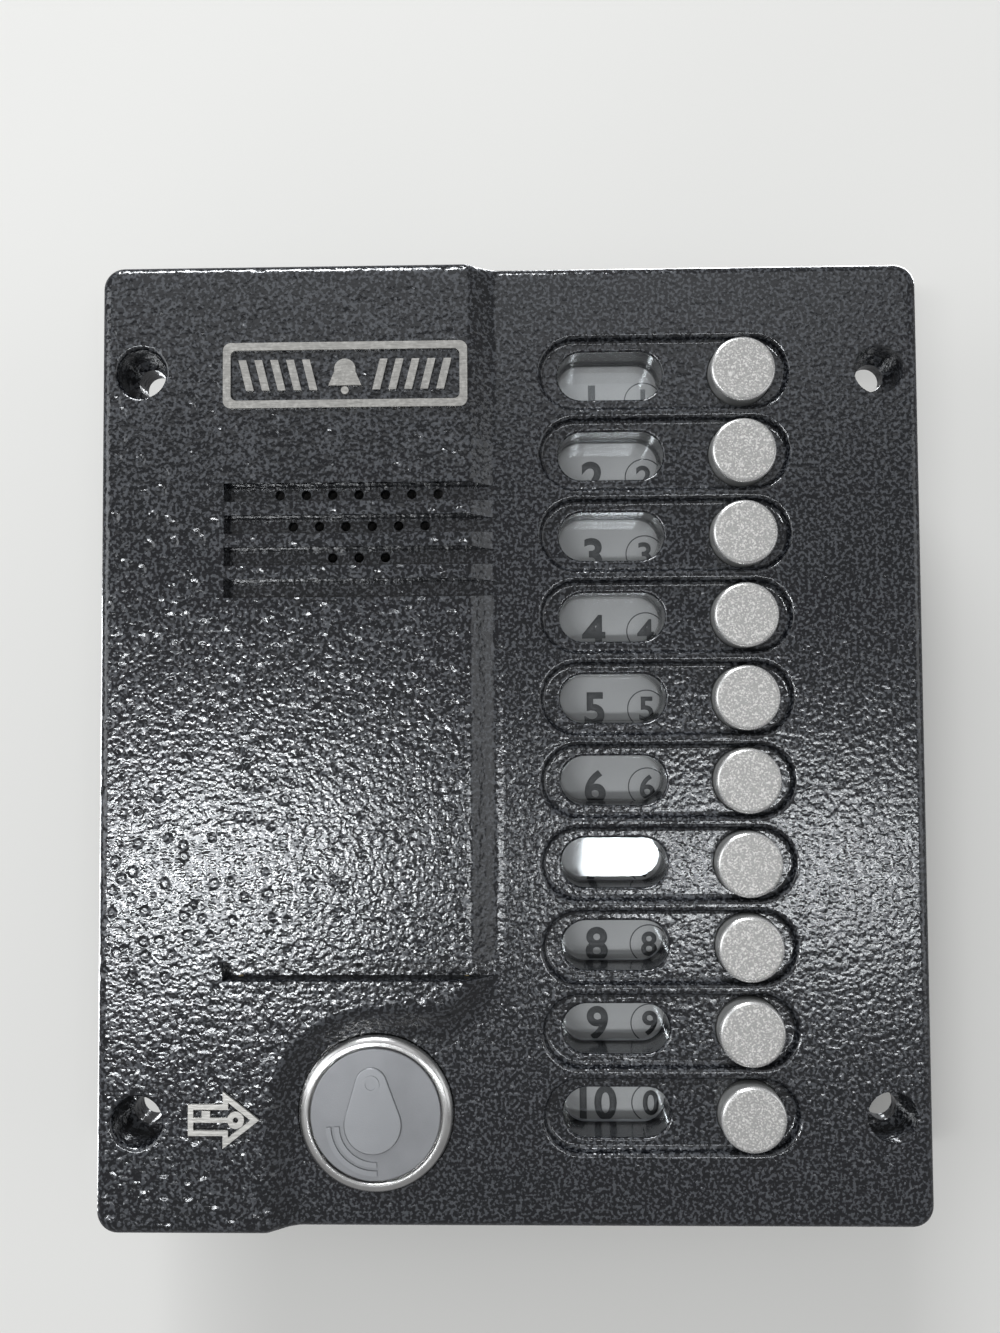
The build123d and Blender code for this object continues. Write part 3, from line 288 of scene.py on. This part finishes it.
def metal(name, colour, roughness=0.3, grain=0.4 * MM, stretched=(1.0, 1.0, 1.0), depth=0.006 * MM):
    """Plated or rolled metal with a fine grain and patchy sheen."""
    f = Finish(name)
    place = f.stretch(f.place(), stretched)
    lines = f.noise(place, grain, 3.0)
    patches = f.noise(place, 4.0 * MM, 2.0)
    darker = [part * 0.78 for part in colour]
    return f.surface(Base_Color=f.mix(patches.ramp(0.35, 0.7), colour, darker), Metallic=1.0,
                     Roughness=roughness + lines * 0.15, Normal=f.bump(lines, depth))


def moulded(name, colour, roughness=0.5, grain=0.35 * MM, depth=0.01 * MM, sheen=0.0):
    """Moulded plastic with a spark-eroded texture and faint flow marks."""
    f = Finish(name)
    place = f.place()
    pits = f.cells(place, grain).ramp(0.0, 0.7)
    flow = f.noise(f.stretch(place, (1.0, 1.0, 0.4)), 8.0 * MM, 2.0)
    lighter = [min(1.0, part * 1.25 + 0.004) for part in colour]
    return f.surface(Base_Color=f.mix(flow.ramp(0.35, 0.7), colour, lighter),
                     Roughness=roughness + flow * 0.12 - 0.05, Coat_Weight=sheen,
                     Normal=f.bump(pits + flow * 0.6, depth))


def clear_lens(look):
    """Clear moulded window strip: a thin bright film, with side walls painted dark as shade and the ones
    facing up painted pale as light from above.
    """
    f = Finish("clear_plastic")
    wave = f.noise(f.place(), 6.0 * MM, 1.0)
    _, front, up = f.split(f.node("ShaderNodeTexCoord", out="Normal"))
    # Side walls are painted near black as shade; those facing up are painted pale and made rougher as
    # painted light from above.
    painted_shade_side = abs(front).ramp(0.85, 0.4)
    painted_top_light = up.ramp(0.15, 0.5) * painted_shade_side
    clear = f.mix(painted_shade_side, look.lens, (0.05, 0.055, 0.06))
    return f.surface(Base_Color=f.mix(painted_top_light, clear, (0.8, 0.82, 0.86)),
                     Roughness=0.05 + painted_top_light * 0.35, Metallic=1.0,
                     Alpha=painted_shade_side * 0.42 + look.lens_haze, Normal=f.bump(wave, 0.01 * MM))


def card_stock(look):
    """Printed card behind the windows."""
    f = Finish("label_card")
    place = f.place()
    fibre = f.noise(place, 0.25 * MM, 3.0)
    tone = f.noise(place, 14.0 * MM, 1.0)
    pale = f.mix(fibre.ramp(0.3, 0.7), look.card, [part * 0.93 for part in look.card])
    return f.surface(Base_Color=f.mix(tone.ramp(0.3, 0.7), pale, [part * 0.9 for part in look.card]),
                     Roughness=0.62, Normal=f.bump(fibre, 0.006 * MM))


def print_ink(look):
    """Grey-black ink that lets some of the card's grain through."""
    f = Finish("label_print")
    fibre = f.noise(f.place(), 0.2 * MM, 3.0)
    return f.surface(Base_Color=f.mix(fibre.ramp(0.35, 0.75), look.ink, [part * 1.9 for part in look.ink]),
                     Roughness=0.5 + fibre * 0.1, Normal=f.bump(fibre, 0.004 * MM))


def milky_plastic():
    """White diffuser that carries the lamps' light along the labels."""
    f = Finish("milky_plastic")
    place = f.place()
    cloud = f.noise(place, 6.0 * MM, 2.0)
    return f.surface(Base_Color=f.mix(cloud.ramp(0.3, 0.7), (0.86, 0.86, 0.84), (0.78, 0.79, 0.78)),
                     Roughness=0.36 + cloud * 0.1, Subsurface_Weight=0.15, Subsurface_Scale=1.5 * MM,
                     Normal=f.bump(cloud, 0.01 * MM))


def rubber():
    """Matt black rubber with a dusty bloom."""
    f = Finish("black_rubber")
    place = f.place()
    bloom = f.noise(place, 3.0 * MM, 4.0)
    skin = f.noise(place, 0.5 * MM, 2.0)
    return f.surface(Base_Color=f.mix(bloom.ramp(0.35, 0.75), (0.022, 0.022, 0.023), (0.05, 0.05, 0.05)),
                     Roughness=0.72 + bloom * 0.15, Normal=f.bump(skin, 0.02 * MM))


def winding():
    """Varnished copper turns round the reader's axis."""
    f = Finish("copper_winding")
    place = f.place()
    _, depth, _ = f.split(place)
    radius = f.from_axis(place, READER)
    wire = 0.3 * MM
    turns = f.waves(radius, wire) * f.waves(depth, wire) * 0.5 + 0.5
    return f.surface(Base_Color=f.mix(turns, (0.28, 0.1, 0.04), (0.75, 0.36, 0.17)), Metallic=0.85,
                     Roughness=0.3, Coat_Weight=0.5, Normal=f.bump(turns, 0.05 * MM))


def paper_cone():
    """Pressed pulp cone with concentric ribs."""
    f = Finish("paper_cone")
    place = f.place()
    radius = f.from_axis(place, middle("speaker_cone"))
    ribs = f.waves(radius, 2.2 * MM) * 0.5 + 0.5
    fibre = f.noise(f.stretch(place, (3.0, 1.0, 1.0)), 0.5 * MM, 4.0)
    return f.surface(Base_Color=f.mix(fibre.ramp(0.3, 0.75), (0.03, 0.03, 0.03), (0.085, 0.08, 0.075)),
                     Roughness=0.85, Normal=f.bump(ribs * 0.6 + fibre * 0.4, 0.12 * MM))


def magnet_ferrite():
    """Dark ferrite ring in a plated cup."""
    f = Finish("magnet_ferrite")
    place = f.place()
    _, depth, _ = f.split(place)
    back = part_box("speaker_magnet")[1].y
    plated = depth.ramp(back - 1.2 * MM, back - 1.0 * MM)
    grit = f.noise(place, 0.4 * MM, 4.0)
    return f.surface(Base_Color=f.mix(plated, f.mix(grit, (0.03, 0.03, 0.033), (0.075, 0.075, 0.08)),
                                      (0.6, 0.6, 0.58)),
                     Metallic=plated * 0.8 + 0.2, Roughness=0.5 - plated * 0.2 + grit * 0.15,
                     Normal=f.bump(grit, 0.02 * MM))


def board_green():
    """Solder mask over copper tracks, with tinned pads and a glass-weave edge."""
    f = Finish("board_green")
    place = f.place()
    x, _, z = f.split(place)
    lanes = f.cells(f.stretch(place, (1.0, 0.0, 0.45)), 2.2 * MM, "DISTANCE_TO_EDGE")
    tracks = lanes.ramp(0.07, 0.1)
    pads = 1 - f.cells(f.stretch(place, (1.0, 0.0, 1.0)), 2.54 * MM, spread=0.35).ramp(0.2, 0.24)
    islands = f.noise(place, 12.0 * MM, 1.0).ramp(0.5, 0.53)
    pads = pads * islands
    weave = f.waves(x, 0.5 * MM) * f.waves(z, 0.5 * MM)
    mask = f.mix(tracks, (0.015, 0.13, 0.055), (0.02, 0.2, 0.085))
    return f.surface(Base_Color=f.mix(pads, mask, (0.72, 0.7, 0.64)), Metallic=pads,
                     Roughness=0.3 + weave * 0.04, Coat_Weight=1 - pads,
                     Normal=f.bump(tracks * 0.6 + weave * 0.08 + pads, 0.03 * MM))


def capacitor_sleeve():
    """Shrunk sleeve with a pale stripe down one side and a bare aluminium top."""
    f = Finish("capacitor_sleeve")
    place = f.place()
    x, depth, _ = f.split(place)
    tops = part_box("capacitors")[1].y
    top = depth.ramp(tops - 0.35 * MM, tops - 0.25 * MM)
    stripe = f.waves(x, 9.0 * MM).ramp(0.82, 0.86)
    creases = f.noise(f.stretch(place, (1.0, 0.2, 1.0)), 1.2 * MM, 2.0)
    sleeve = f.mix(stripe, (0.03, 0.045, 0.16), (0.62, 0.64, 0.68))
    return f.surface(Base_Color=f.mix(top, sleeve, (0.75, 0.75, 0.75)), Metallic=top,
                     Roughness=0.3 + creases * 0.12, Normal=f.bump(creases, 0.03 * MM))


def chip_epoxy():
    """Moulded epoxy bodies on tinned legs."""
    f = Finish("chip_epoxy")
    place = f.place()
    _, depth, _ = f.split(place)
    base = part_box("main_board")[1].y
    legs = depth.ramp(base + 0.5 * MM, base + 0.3 * MM)
    pits = f.noise(place, 0.3 * MM, 3.0)
    epoxy = f.mix(pits, (0.018, 0.018, 0.02), (0.04, 0.04, 0.042))
    return f.surface(Base_Color=f.mix(legs, epoxy, (0.7, 0.7, 0.68)), Metallic=legs,
                     Roughness=0.62 - legs * 0.3, Normal=f.bump(pits, 0.012 * MM))


def led_resin():
    """Clear resin over yellow phosphor in a white cup."""
    f = Finish("led_resin")
    place = f.place()
    phosphor = f.noise(place, 0.5 * MM, 3.0)
    return f.surface(Base_Color=f.mix(phosphor.ramp(0.3, 0.7), (0.9, 0.8, 0.3), (0.93, 0.9, 0.72)),
                     Roughness=0.18 + phosphor * 0.1, Coat_Weight=1.0,
                     Normal=f.bump(phosphor, 0.01 * MM))


def ribbon():
    """Grey flat cable: the cores show as ribs, the first one is red."""
    f = Finish("ribbon_grey")
    place = f.place()
    _, _, z = f.split(place)
    from_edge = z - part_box("board_ribbon")[0].z
    pitch = 1.27 * MM
    ribs = f.waves(from_edge, pitch) * 0.5 + 0.5
    first = from_edge.ramp(pitch, pitch * 0.9)
    grey = f.mix(ribs, (0.3, 0.3, 0.31), (0.52, 0.52, 0.53))
    return f.surface(Base_Color=f.mix(first, grey, (0.5, 0.04, 0.03)), Roughness=0.42 + ribs * 0.1,
                     Normal=f.bump(ribs, 0.2 * MM))


def finishes(look):
    """Every material slot of the record, with the nodes that take it."""
    steel = (0.6, 0.6, 0.59)
    return {
        "hammertone_paint": (hammertone_paint(look), ["front_casting"]),
        "polished_ring": (turned_ring(), ["reader_bezel"]),
        "satin_disc": (satin_disc(look), ["reader_cap"]),
        "blasted_metal": (blasted_metal(look), BUTTONS),
        "clear_plastic": (clear_lens(look), ["window_lens"]),
        "label_print": (card_stock(look), ["label_card"]),
        "milky_plastic": (milky_plastic(), ["label_diffuser"]),
        "black_rubber": (rubber(), ["reader_seal", "speaker_gasket", "microphone_boot", "window_seal",
                                        "rear_seal", "cable_grommet"]),
        "copper_winding": (winding(), ["reader_coil"]),
        "black_plastic": (moulded("black_plastic", (0.03, 0.03, 0.033)),
                          ["reader_cup", "button_guide", "board_headers"]),
        "zinc_nut": (metal("zinc_nut", (0.66, 0.65, 0.6), 0.3), ["reader_nut"]),
        "pressed_steel": (metal("pressed_steel", steel, 0.32, 0.5 * MM, (6.0, 1.0, 1.0)),
                          ["speaker_frame", "speaker_clamps"]),
        "paper_cone": (paper_cone(), ["speaker_cone"]),
        "magnet_ferrite": (magnet_ferrite(), ["speaker_magnet"]),
        "screw_steel": (metal("screw_steel", steel, 0.24, 0.3 * MM),
                        ["small_screws", "main_board_screws", "rear_cover_screws", "terminal_screws"]),
        "capsule_can": (metal("capsule_can", (0.72, 0.72, 0.72), 0.28, 0.4 * MM, (1.0, 5.0, 1.0)),
                        ["microphone_capsule"]),
        "switch_plastic": (moulded("switch_plastic", (0.06, 0.06, 0.06), 0.45), ["tact_switches"]),
        "led_resin": (led_resin(), ["label_leds"]),
        "board_green": (board_green(), ["button_board", "main_board"]),
        "spacer_brass": (metal("spacer_brass", (0.78, 0.58, 0.27), 0.22, 0.3 * MM, (1.0, 6.0, 1.0)),
                         ["board_spacers"]),
        "terminal_green": (moulded("terminal_green", (0.05, 0.3, 0.1), 0.4, 0.5 * MM), ["terminal_block"]),
        "capacitor_sleeve": (capacitor_sleeve(), ["capacitors"]),
        "chip_epoxy": (chip_epoxy(), ["chips"]),
        "relay_blue": (moulded("relay_blue", (0.03, 0.12, 0.45), 0.3, 0.6 * MM, 0.006 * MM, 0.3),
                       ["lock_relay"]),
        "trimmer_blue": (moulded("trimmer_blue", (0.03, 0.14, 0.5), 0.32, 0.4 * MM, 0.006 * MM),
                         ["trimmer_body"]),
        "trimmer_white": (moulded("trimmer_white", (0.8, 0.79, 0.76), 0.4, 0.4 * MM, 0.006 * MM),
                          ["trimmer_rotor"]),
        "ribbon_grey": (ribbon(), ["board_ribbon"]),
        "spring_steel": (metal("spring_steel", (0.62, 0.62, 0.63), 0.2, 0.2 * MM), SPRINGS),
        "cover_plastic": (moulded("cover_plastic", (0.035, 0.035, 0.038), 0.48, 0.55 * MM, 0.03 * MM),
                          ["rear_cover"]),
    }


# ---- made pieces ------------------------------------------------------------------------------------------
def add_piece(name, shape, body, material):
    """Makes an object of a bmesh and gives it its body, slot and material."""
    mesh = bpy.data.meshes.new(name)
    shape.to_mesh(mesh)
    shape.free()
    mesh.materials.append(material)
    made = bpy.data.objects.new(name, mesh)
    bpy.context.scene.collection.objects.link(made)
    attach(made, body)
    return made


def add_numeral(shape, text, height, place, weight, thick):
    """Adds a numeral of this height to a bmesh, centred on a place and facing the front."""
    curve = bpy.data.curves.new("numeral", "FONT")
    curve.body, curve.align_x = text, "CENTER"
    curve.offset, curve.resolution_u = weight, 6
    holder = bpy.data.objects.new("numeral", curve)
    bpy.context.scene.collection.objects.link(holder)
    bpy.context.view_layer.update()
    mesh = bpy.data.meshes.new_from_object(holder)
    low = Vector(map(min, *(v.co for v in mesh.vertices)))
    high = Vector(map(max, *(v.co for v in mesh.vertices)))
    scale = height / (high.y - low.y)
    centre = Matrix.Translation(-(low + high) / 2)
    facing = Matrix.Rotation(math.radians(90), 4, "X")
    mesh.transform(Matrix.Translation(place) @ facing @ Matrix.Scale(scale, 4) @ centre)
    part = bmesh.new()
    part.from_mesh(mesh)
    bmesh.ops.solidify(part, geom=part.faces[:], thickness=-thick)
    bmesh.ops.recalc_face_normals(part, faces=part.faces[:])
    part.to_mesh(mesh)
    part.free()
    shape.from_mesh(mesh)
    bpy.data.objects.remove(holder)
    bpy.data.curves.remove(curve)
    bpy.data.meshes.remove(mesh)


def add_ring(shape, place, radius, width, thick, steps=64):
    """Adds a flat printed ring to a bmesh: a small section spun round the Y axis."""
    ring = bmesh.new()
    corners = [(radius - width / 2, 0.0), (radius + width / 2, 0.0),
               (radius + width / 2, thick), (radius - width / 2, thick)]
    section = [ring.verts.new(place + Vector((out, deep, 0.0))) for out, deep in corners]
    edges = [ring.edges.new((section[i], section[(i + 1) % 4])) for i in range(4)]
    bmesh.ops.spin(ring, geom=section + edges, cent=place, axis=(0, 1, 0), angle=2 * math.pi,
                   steps=steps, use_merge=True)
    bmesh.ops.remove_doubles(ring, verts=ring.verts[:], dist=1e-7)
    bmesh.ops.recalc_face_normals(ring, faces=ring.faces[:])
    holder = bpy.data.meshes.new("ring")
    ring.to_mesh(holder)
    ring.free()
    shape.from_mesh(holder)
    bpy.data.meshes.remove(holder)


# ---- settings ---------------------------------------------------------------------------------------------
def colour_setting(name, description, default):
    """A colour that the user can change."""
    return FloatVectorProperty(name=name, description=description, default=default, subtype="COLOR",
                               size=3, min=0.0, max=1.0)


def length_setting(name, description, default):
    """A length that the user can change."""
    return FloatProperty(name=name, description=description, default=default, unit="LENGTH",
                         subtype="DISTANCE", precision=5)


def number_setting(name, description, default, top=1.0):
    """A number from nothing to a top value that the user can change."""
    return FloatProperty(name=name, description=description, default=default, min=0.0, max=top,
                         subtype="FACTOR")


def angle_setting(name, description, degrees):
    """An angle that the user can change."""
    return FloatProperty(name=name, description=description, default=math.radians(degrees), subtype="ANGLE",
                         unit="ROTATION")


class IntercomLook(bpy.types.PropertyGroup):
    """Colours and texture of the panel's finishes."""

    paint: colour_setting("Paint", "Ground colour of the hammertone paint", (0.0015, 0.002, 0.0036))
    # Colour of the grey flecks, which stand partly for the paint's own grey and partly for painted glints.
    fleck: colour_setting("Fleck", "Grey fleck in the paint", (0.05, 0.053, 0.059))
    ground_metal: colour_setting("Ground metal", "Bare metal on the badge and arrow", (0.5, 0.485, 0.455))
    disc: colour_setting("Reader disc", "Satin disc in the reader's ring", (0.25, 0.252, 0.26))
    button: colour_setting("Button face", "Blasted face of the buttons", (0.58, 0.565, 0.545))
    # Button edge colour is a painted highlight; Button side colour is painted shade.
    button_edge: colour_setting("Button edge", "Turned edge of the buttons", (0.85, 0.84, 0.82))
    button_side: colour_setting("Button side", "Sides of the buttons", (0.42, 0.42, 0.41))
    lens: colour_setting("Window strip", "Tint of the clear strip", (0.86, 0.9, 0.92))
    card: colour_setting("Label card", "Card behind the windows", (0.68, 0.685, 0.68))
    ink: colour_setting("Ink", "Ink of the numerals", (0.03, 0.031, 0.033))
    lens_haze: number_setting("Window haze", "How much the clear strip hides", 0.1)
    paint_roughness: number_setting("Paint roughness", "Roughness of the paint", 0.14)
    lump_height: length_setting("Lump height", "Height of the paint's lumps", 0.17 * MM)


class IntercomLabels(bpy.types.PropertyGroup):
    """Sizes of the printed labels."""

    large: length_setting("Flat numeral", "Height of the large numerals", 6.5 * MM)
    small: length_setting("Ringed numeral", "Height of the small numerals", 4.7 * MM)
    large_left: length_setting("Flat numeral offset", "From the window's middle, to the left", 2.7 * MM)
    small_right: length_setting("Ringed numeral offset", "From the window's middle, to the right", 7.3 * MM)
    drop: length_setting("Print drop", "How far the print sits below its button's axis", 2.0 * MM)
    ring: length_setting("Ring", "Diameter of the printed ring", 7.2 * MM)
    ring_width: length_setting("Ring line", "Width of the printed ring's line", 0.22 * MM)
    thick: length_setting("Ink thickness", "Thickness of the ink", 0.03 * MM)
    lift: length_setting("Ink gap", "Gap between the card and the ink", 0.01 * MM)
    large_weight: number_setting("Flat numeral weight", "Extra weight of the large strokes", 0.03, 0.1)
    small_weight: number_setting("Ringed numeral weight", "Extra weight of the small strokes", 0.022, 0.1)


class IntercomStage(bpy.types.PropertyGroup):
    """Camera and lights."""

    distance: length_setting("Camera distance", "From the fixing plane to the camera", 190.5 * MM)
    across: length_setting("Camera across", "Camera's place along X", 1.3 * MM)
    height: length_setting("Camera height", "Camera's place along Z", 7.0 * MM)
    lens: FloatProperty(name="Lens", description="Focal length for a 36 mm sensor", default=27.0,
                        unit="CAMERA")
    turn_left: angle_setting("Camera turn", "Turn of the camera to the left", 1.1)
    tilt_up: angle_setting("Camera tilt", "Tilt of the camera upwards", 2.03)
    roll: angle_setting("Camera roll", "Roll of the camera", -0.35)
    wall_gap: length_setting("Wall gap", "From the rear cover to the wall", 2.0 * MM)
    wall_reach: length_setting("Wall reach", "From the wall's middle to its edges", 1600.0 * MM)
    wall: colour_setting("Wall", "Colour of the wall behind the panel", (0.71, 0.695, 0.665))
    room: colour_setting("Room", "Colour of the room's light", (0.97, 0.98, 1.0))
    room_strength: number_setting("Room strength", "Strength of the room's light", 0.27, 2.0)


LAMPS = [  # name, place, width, height, watts
    ("ceiling_light", (-0.3, -0.55, 1.25), 0.6, 0.28, 16.0),
    ("left_tube", (-0.46, -1.2, -0.225), 0.52, 0.06, 4.6),
    ("right_tube", (0.34, -1.2, -0.22), 0.51, 0.06, 2.0),
    ("high_front_light", (-0.2, -1.9, 1.25), 2.6, 1.3, 5.0),
    ("left_light", (-0.75, -0.5, 0.1), 0.5, 0.6, 1.8),
    ("right_light", (0.75, -0.45, 0.0), 0.5, 0.6, 0.7),
    ("back_light_high", (0.5, 0.9, 0.9), 0.9, 0.7, 20.0),
    ("back_light_low", (-0.8, 0.8, -0.2), 0.7, 0.7, 9.0),
]
LAMP_COLOUR = (0.94, 0.97, 1.0)


# ---- operators --------------------------------------------------------------------------------------------
class INTERCOM_OT_finishes(bpy.types.Operator):
    """Give every part of the panel its finish"""

    bl_idname = "intercom.finishes"
    bl_label = "Finishes"

    def execute(self, context):
        """Assigns each material to its nodes' slots."""
        given = set()
        for material, nodes in finishes(context.scene.intercom_look).values():
            for name in nodes:
                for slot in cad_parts[name].material_slots:
                    slot.material = material
                given.add(name)
        left = sorted(set(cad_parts) - given)
        if left:
            raise RuntimeError(f"these nodes have no finish: {left}")
        return {"FINISHED"}


class INTERCOM_OT_labels(bpy.types.Operator):
    """Print the numerals and rings on the label card"""

    bl_idname = "intercom.labels"
    bl_label = "Printed labels"

    def execute(self, context):
        """Adds one print for each button."""
        sizes = context.scene.intercom_labels
        ink = print_ink(context.scene.intercom_look)
        front = CARD_FRONT - sizes.thick - sizes.lift
        for number, button in enumerate(BUTTONS, start=1):
            shape = bmesh.new()
            z = middle(button).z - sizes.drop
            large_at = Vector((WINDOW_X - sizes.large_left, front, z))
            small_at = Vector((WINDOW_X + sizes.small_right, front, z))
            add_numeral(shape, str(number), sizes.large, large_at, sizes.large_weight, sizes.thick)
            add_numeral(shape, str(number % 10), sizes.small, small_at, sizes.small_weight, sizes.thick)
            add_ring(shape, small_at, sizes.ring / 2, sizes.ring_width, sizes.thick)
            add_piece(f"label_print_{number:02d}", shape, "housing", ink)
        return {"FINISHED"}


class INTERCOM_OT_stage(bpy.types.Operator):
    """Set up the wall, the lights and the camera"""

    bl_idname = "intercom.stage"
    bl_label = "Stage"

    def execute(self, context):
        """Adds the stage."""
        stage = context.scene.intercom_stage
        self.add_wall(stage)
        self.add_lights()
        self.light_room(context.scene, stage)
        self.add_camera(context.scene, stage)
        context.scene.view_settings.view_transform = "Standard"
        return {"FINISHED"}

    def add_wall(self, stage):
        """A pale plane close behind the panel, clear from behind so that the back can be seen."""
        f = Finish("stage_wall")
        mottle = f.noise(f.place(), 120.0 * MM, 1.0)
        pale = f.mix(mottle.ramp(0.3, 0.7), stage.wall, [part * 0.985 for part in stage.wall])
        coat = f.node("ShaderNodeBsdfDiffuse", None, {"Color": pale})
        clear = f.node("ShaderNodeBsdfTransparent")
        behind = f.node("ShaderNodeNewGeometry", out="Backfacing")
        shown = f.node("ShaderNodeMixShader", None, {0: behind, 1: coat, 2: clear})
        f.node("ShaderNodeOutputMaterial", None, {"Surface": shown})
        shape = bmesh.new()
        facing = Matrix.Rotation(math.radians(90), 4, "X")
        bmesh.ops.create_grid(shape, x_segments=1, y_segments=1, size=stage.wall_reach,
                              matrix=Matrix.Translation((0, BACK_FACE + stage.wall_gap, 0)) @ facing)
        mesh = bpy.data.meshes.new("wall")
        shape.to_mesh(mesh)
        shape.free()
        mesh.materials.append(f.material)
        wall = bpy.data.objects.new("wall", mesh)
        bpy.context.scene.collection.objects.link(wall)
        wall.visible_diffuse = wall.visible_glossy = False
        wall.visible_transmission = wall.visible_shadow = False

    def add_lights(self):
        """Soft area lights, each turned to the panel's middle."""
        for name, at, width, height, watts in LAMPS:
            light = bpy.data.lights.new(name, "AREA")
            light.shape, light.size, light.size_y, light.energy = "RECTANGLE", width, height, watts
            light.color = LAMP_COLOUR
            lamp = bpy.data.objects.new(name, light)
            lamp.location = at
            lamp.rotation_euler = (-Vector(at)).to_track_quat("-Z", "Y").to_euler()
            bpy.context.scene.collection.objects.link(lamp)

    def light_room(self, scene, stage):
        """An even pale room."""
        world = bpy.data.worlds.new("room")
        world.use_nodes = True
        background = world.node_tree.nodes["Background"]
        background.inputs["Color"].default_value = (*stage.room, 1.0)
        background.inputs["Strength"].default_value = stage.room_strength
        scene.world = world

    def add_camera(self, scene, stage):
        """A camera close in front, turned slightly up and to the left."""
        data = bpy.data.cameras.new("camera")
        data.sensor_fit, data.sensor_width, data.lens = "AUTO", 36.0, stage.lens
        data.clip_start = 0.01
        camera = bpy.data.objects.new("camera", data)
        scene.collection.objects.link(camera)
        camera.location = (stage.across, -stage.distance, stage.height)
        aim = Vector((-math.sin(stage.turn_left), 1.0, math.sin(stage.tilt_up)))
        turn = aim.to_track_quat("-Z", "Y").to_matrix().to_4x4()
        camera.rotation_euler = (turn @ Matrix.Rotation(stage.roll, 4, "Z")).to_euler()
        scene.camera = camera


class INTERCOM_PT_panel(bpy.types.Panel):
    """Sidebar panel with the steps in their order"""

    bl_idname = "INTERCOM_PT_panel"
    bl_label = "Door intercom"
    bl_space_type = "VIEW_3D"
    bl_region_type = "UI"
    bl_category = "Intercom"

    def draw(self, context):
        """Lists the settings and the operators."""
        for group, operator in ((context.scene.intercom_look, INTERCOM_OT_finishes),
                                (context.scene.intercom_labels, INTERCOM_OT_labels),
                                (context.scene.intercom_stage, INTERCOM_OT_stage)):
            box = self.layout.box()
            for name in group.bl_rna.properties.keys():
                if name not in ("rna_type", "name"):
                    box.prop(group, name)
            box.operator(operator.bl_idname)


CLASSES = (IntercomLook, IntercomLabels, IntercomStage, INTERCOM_OT_finishes, INTERCOM_OT_labels,
           INTERCOM_OT_stage, INTERCOM_PT_panel)


def register():
    """Registers the classes and hangs the settings on the scene."""
    for each in CLASSES:
        bpy.utils.register_class(each)
    bpy.types.Scene.intercom_look = PointerProperty(type=IntercomLook)
    bpy.types.Scene.intercom_labels = PointerProperty(type=IntercomLabels)
    bpy.types.Scene.intercom_stage = PointerProperty(type=IntercomStage)


def unregister():
    """Takes the settings and the classes away again."""
    del bpy.types.Scene.intercom_stage, bpy.types.Scene.intercom_labels, bpy.types.Scene.intercom_look
    for each in reversed(CLASSES):
        bpy.utils.unregister_class(each)


def main():
    """Builds everything."""
    register()
    bpy.ops.intercom.finishes()
    bpy.ops.intercom.labels()
    bpy.ops.intercom.stage()


if __name__ == "__main__":
    main()
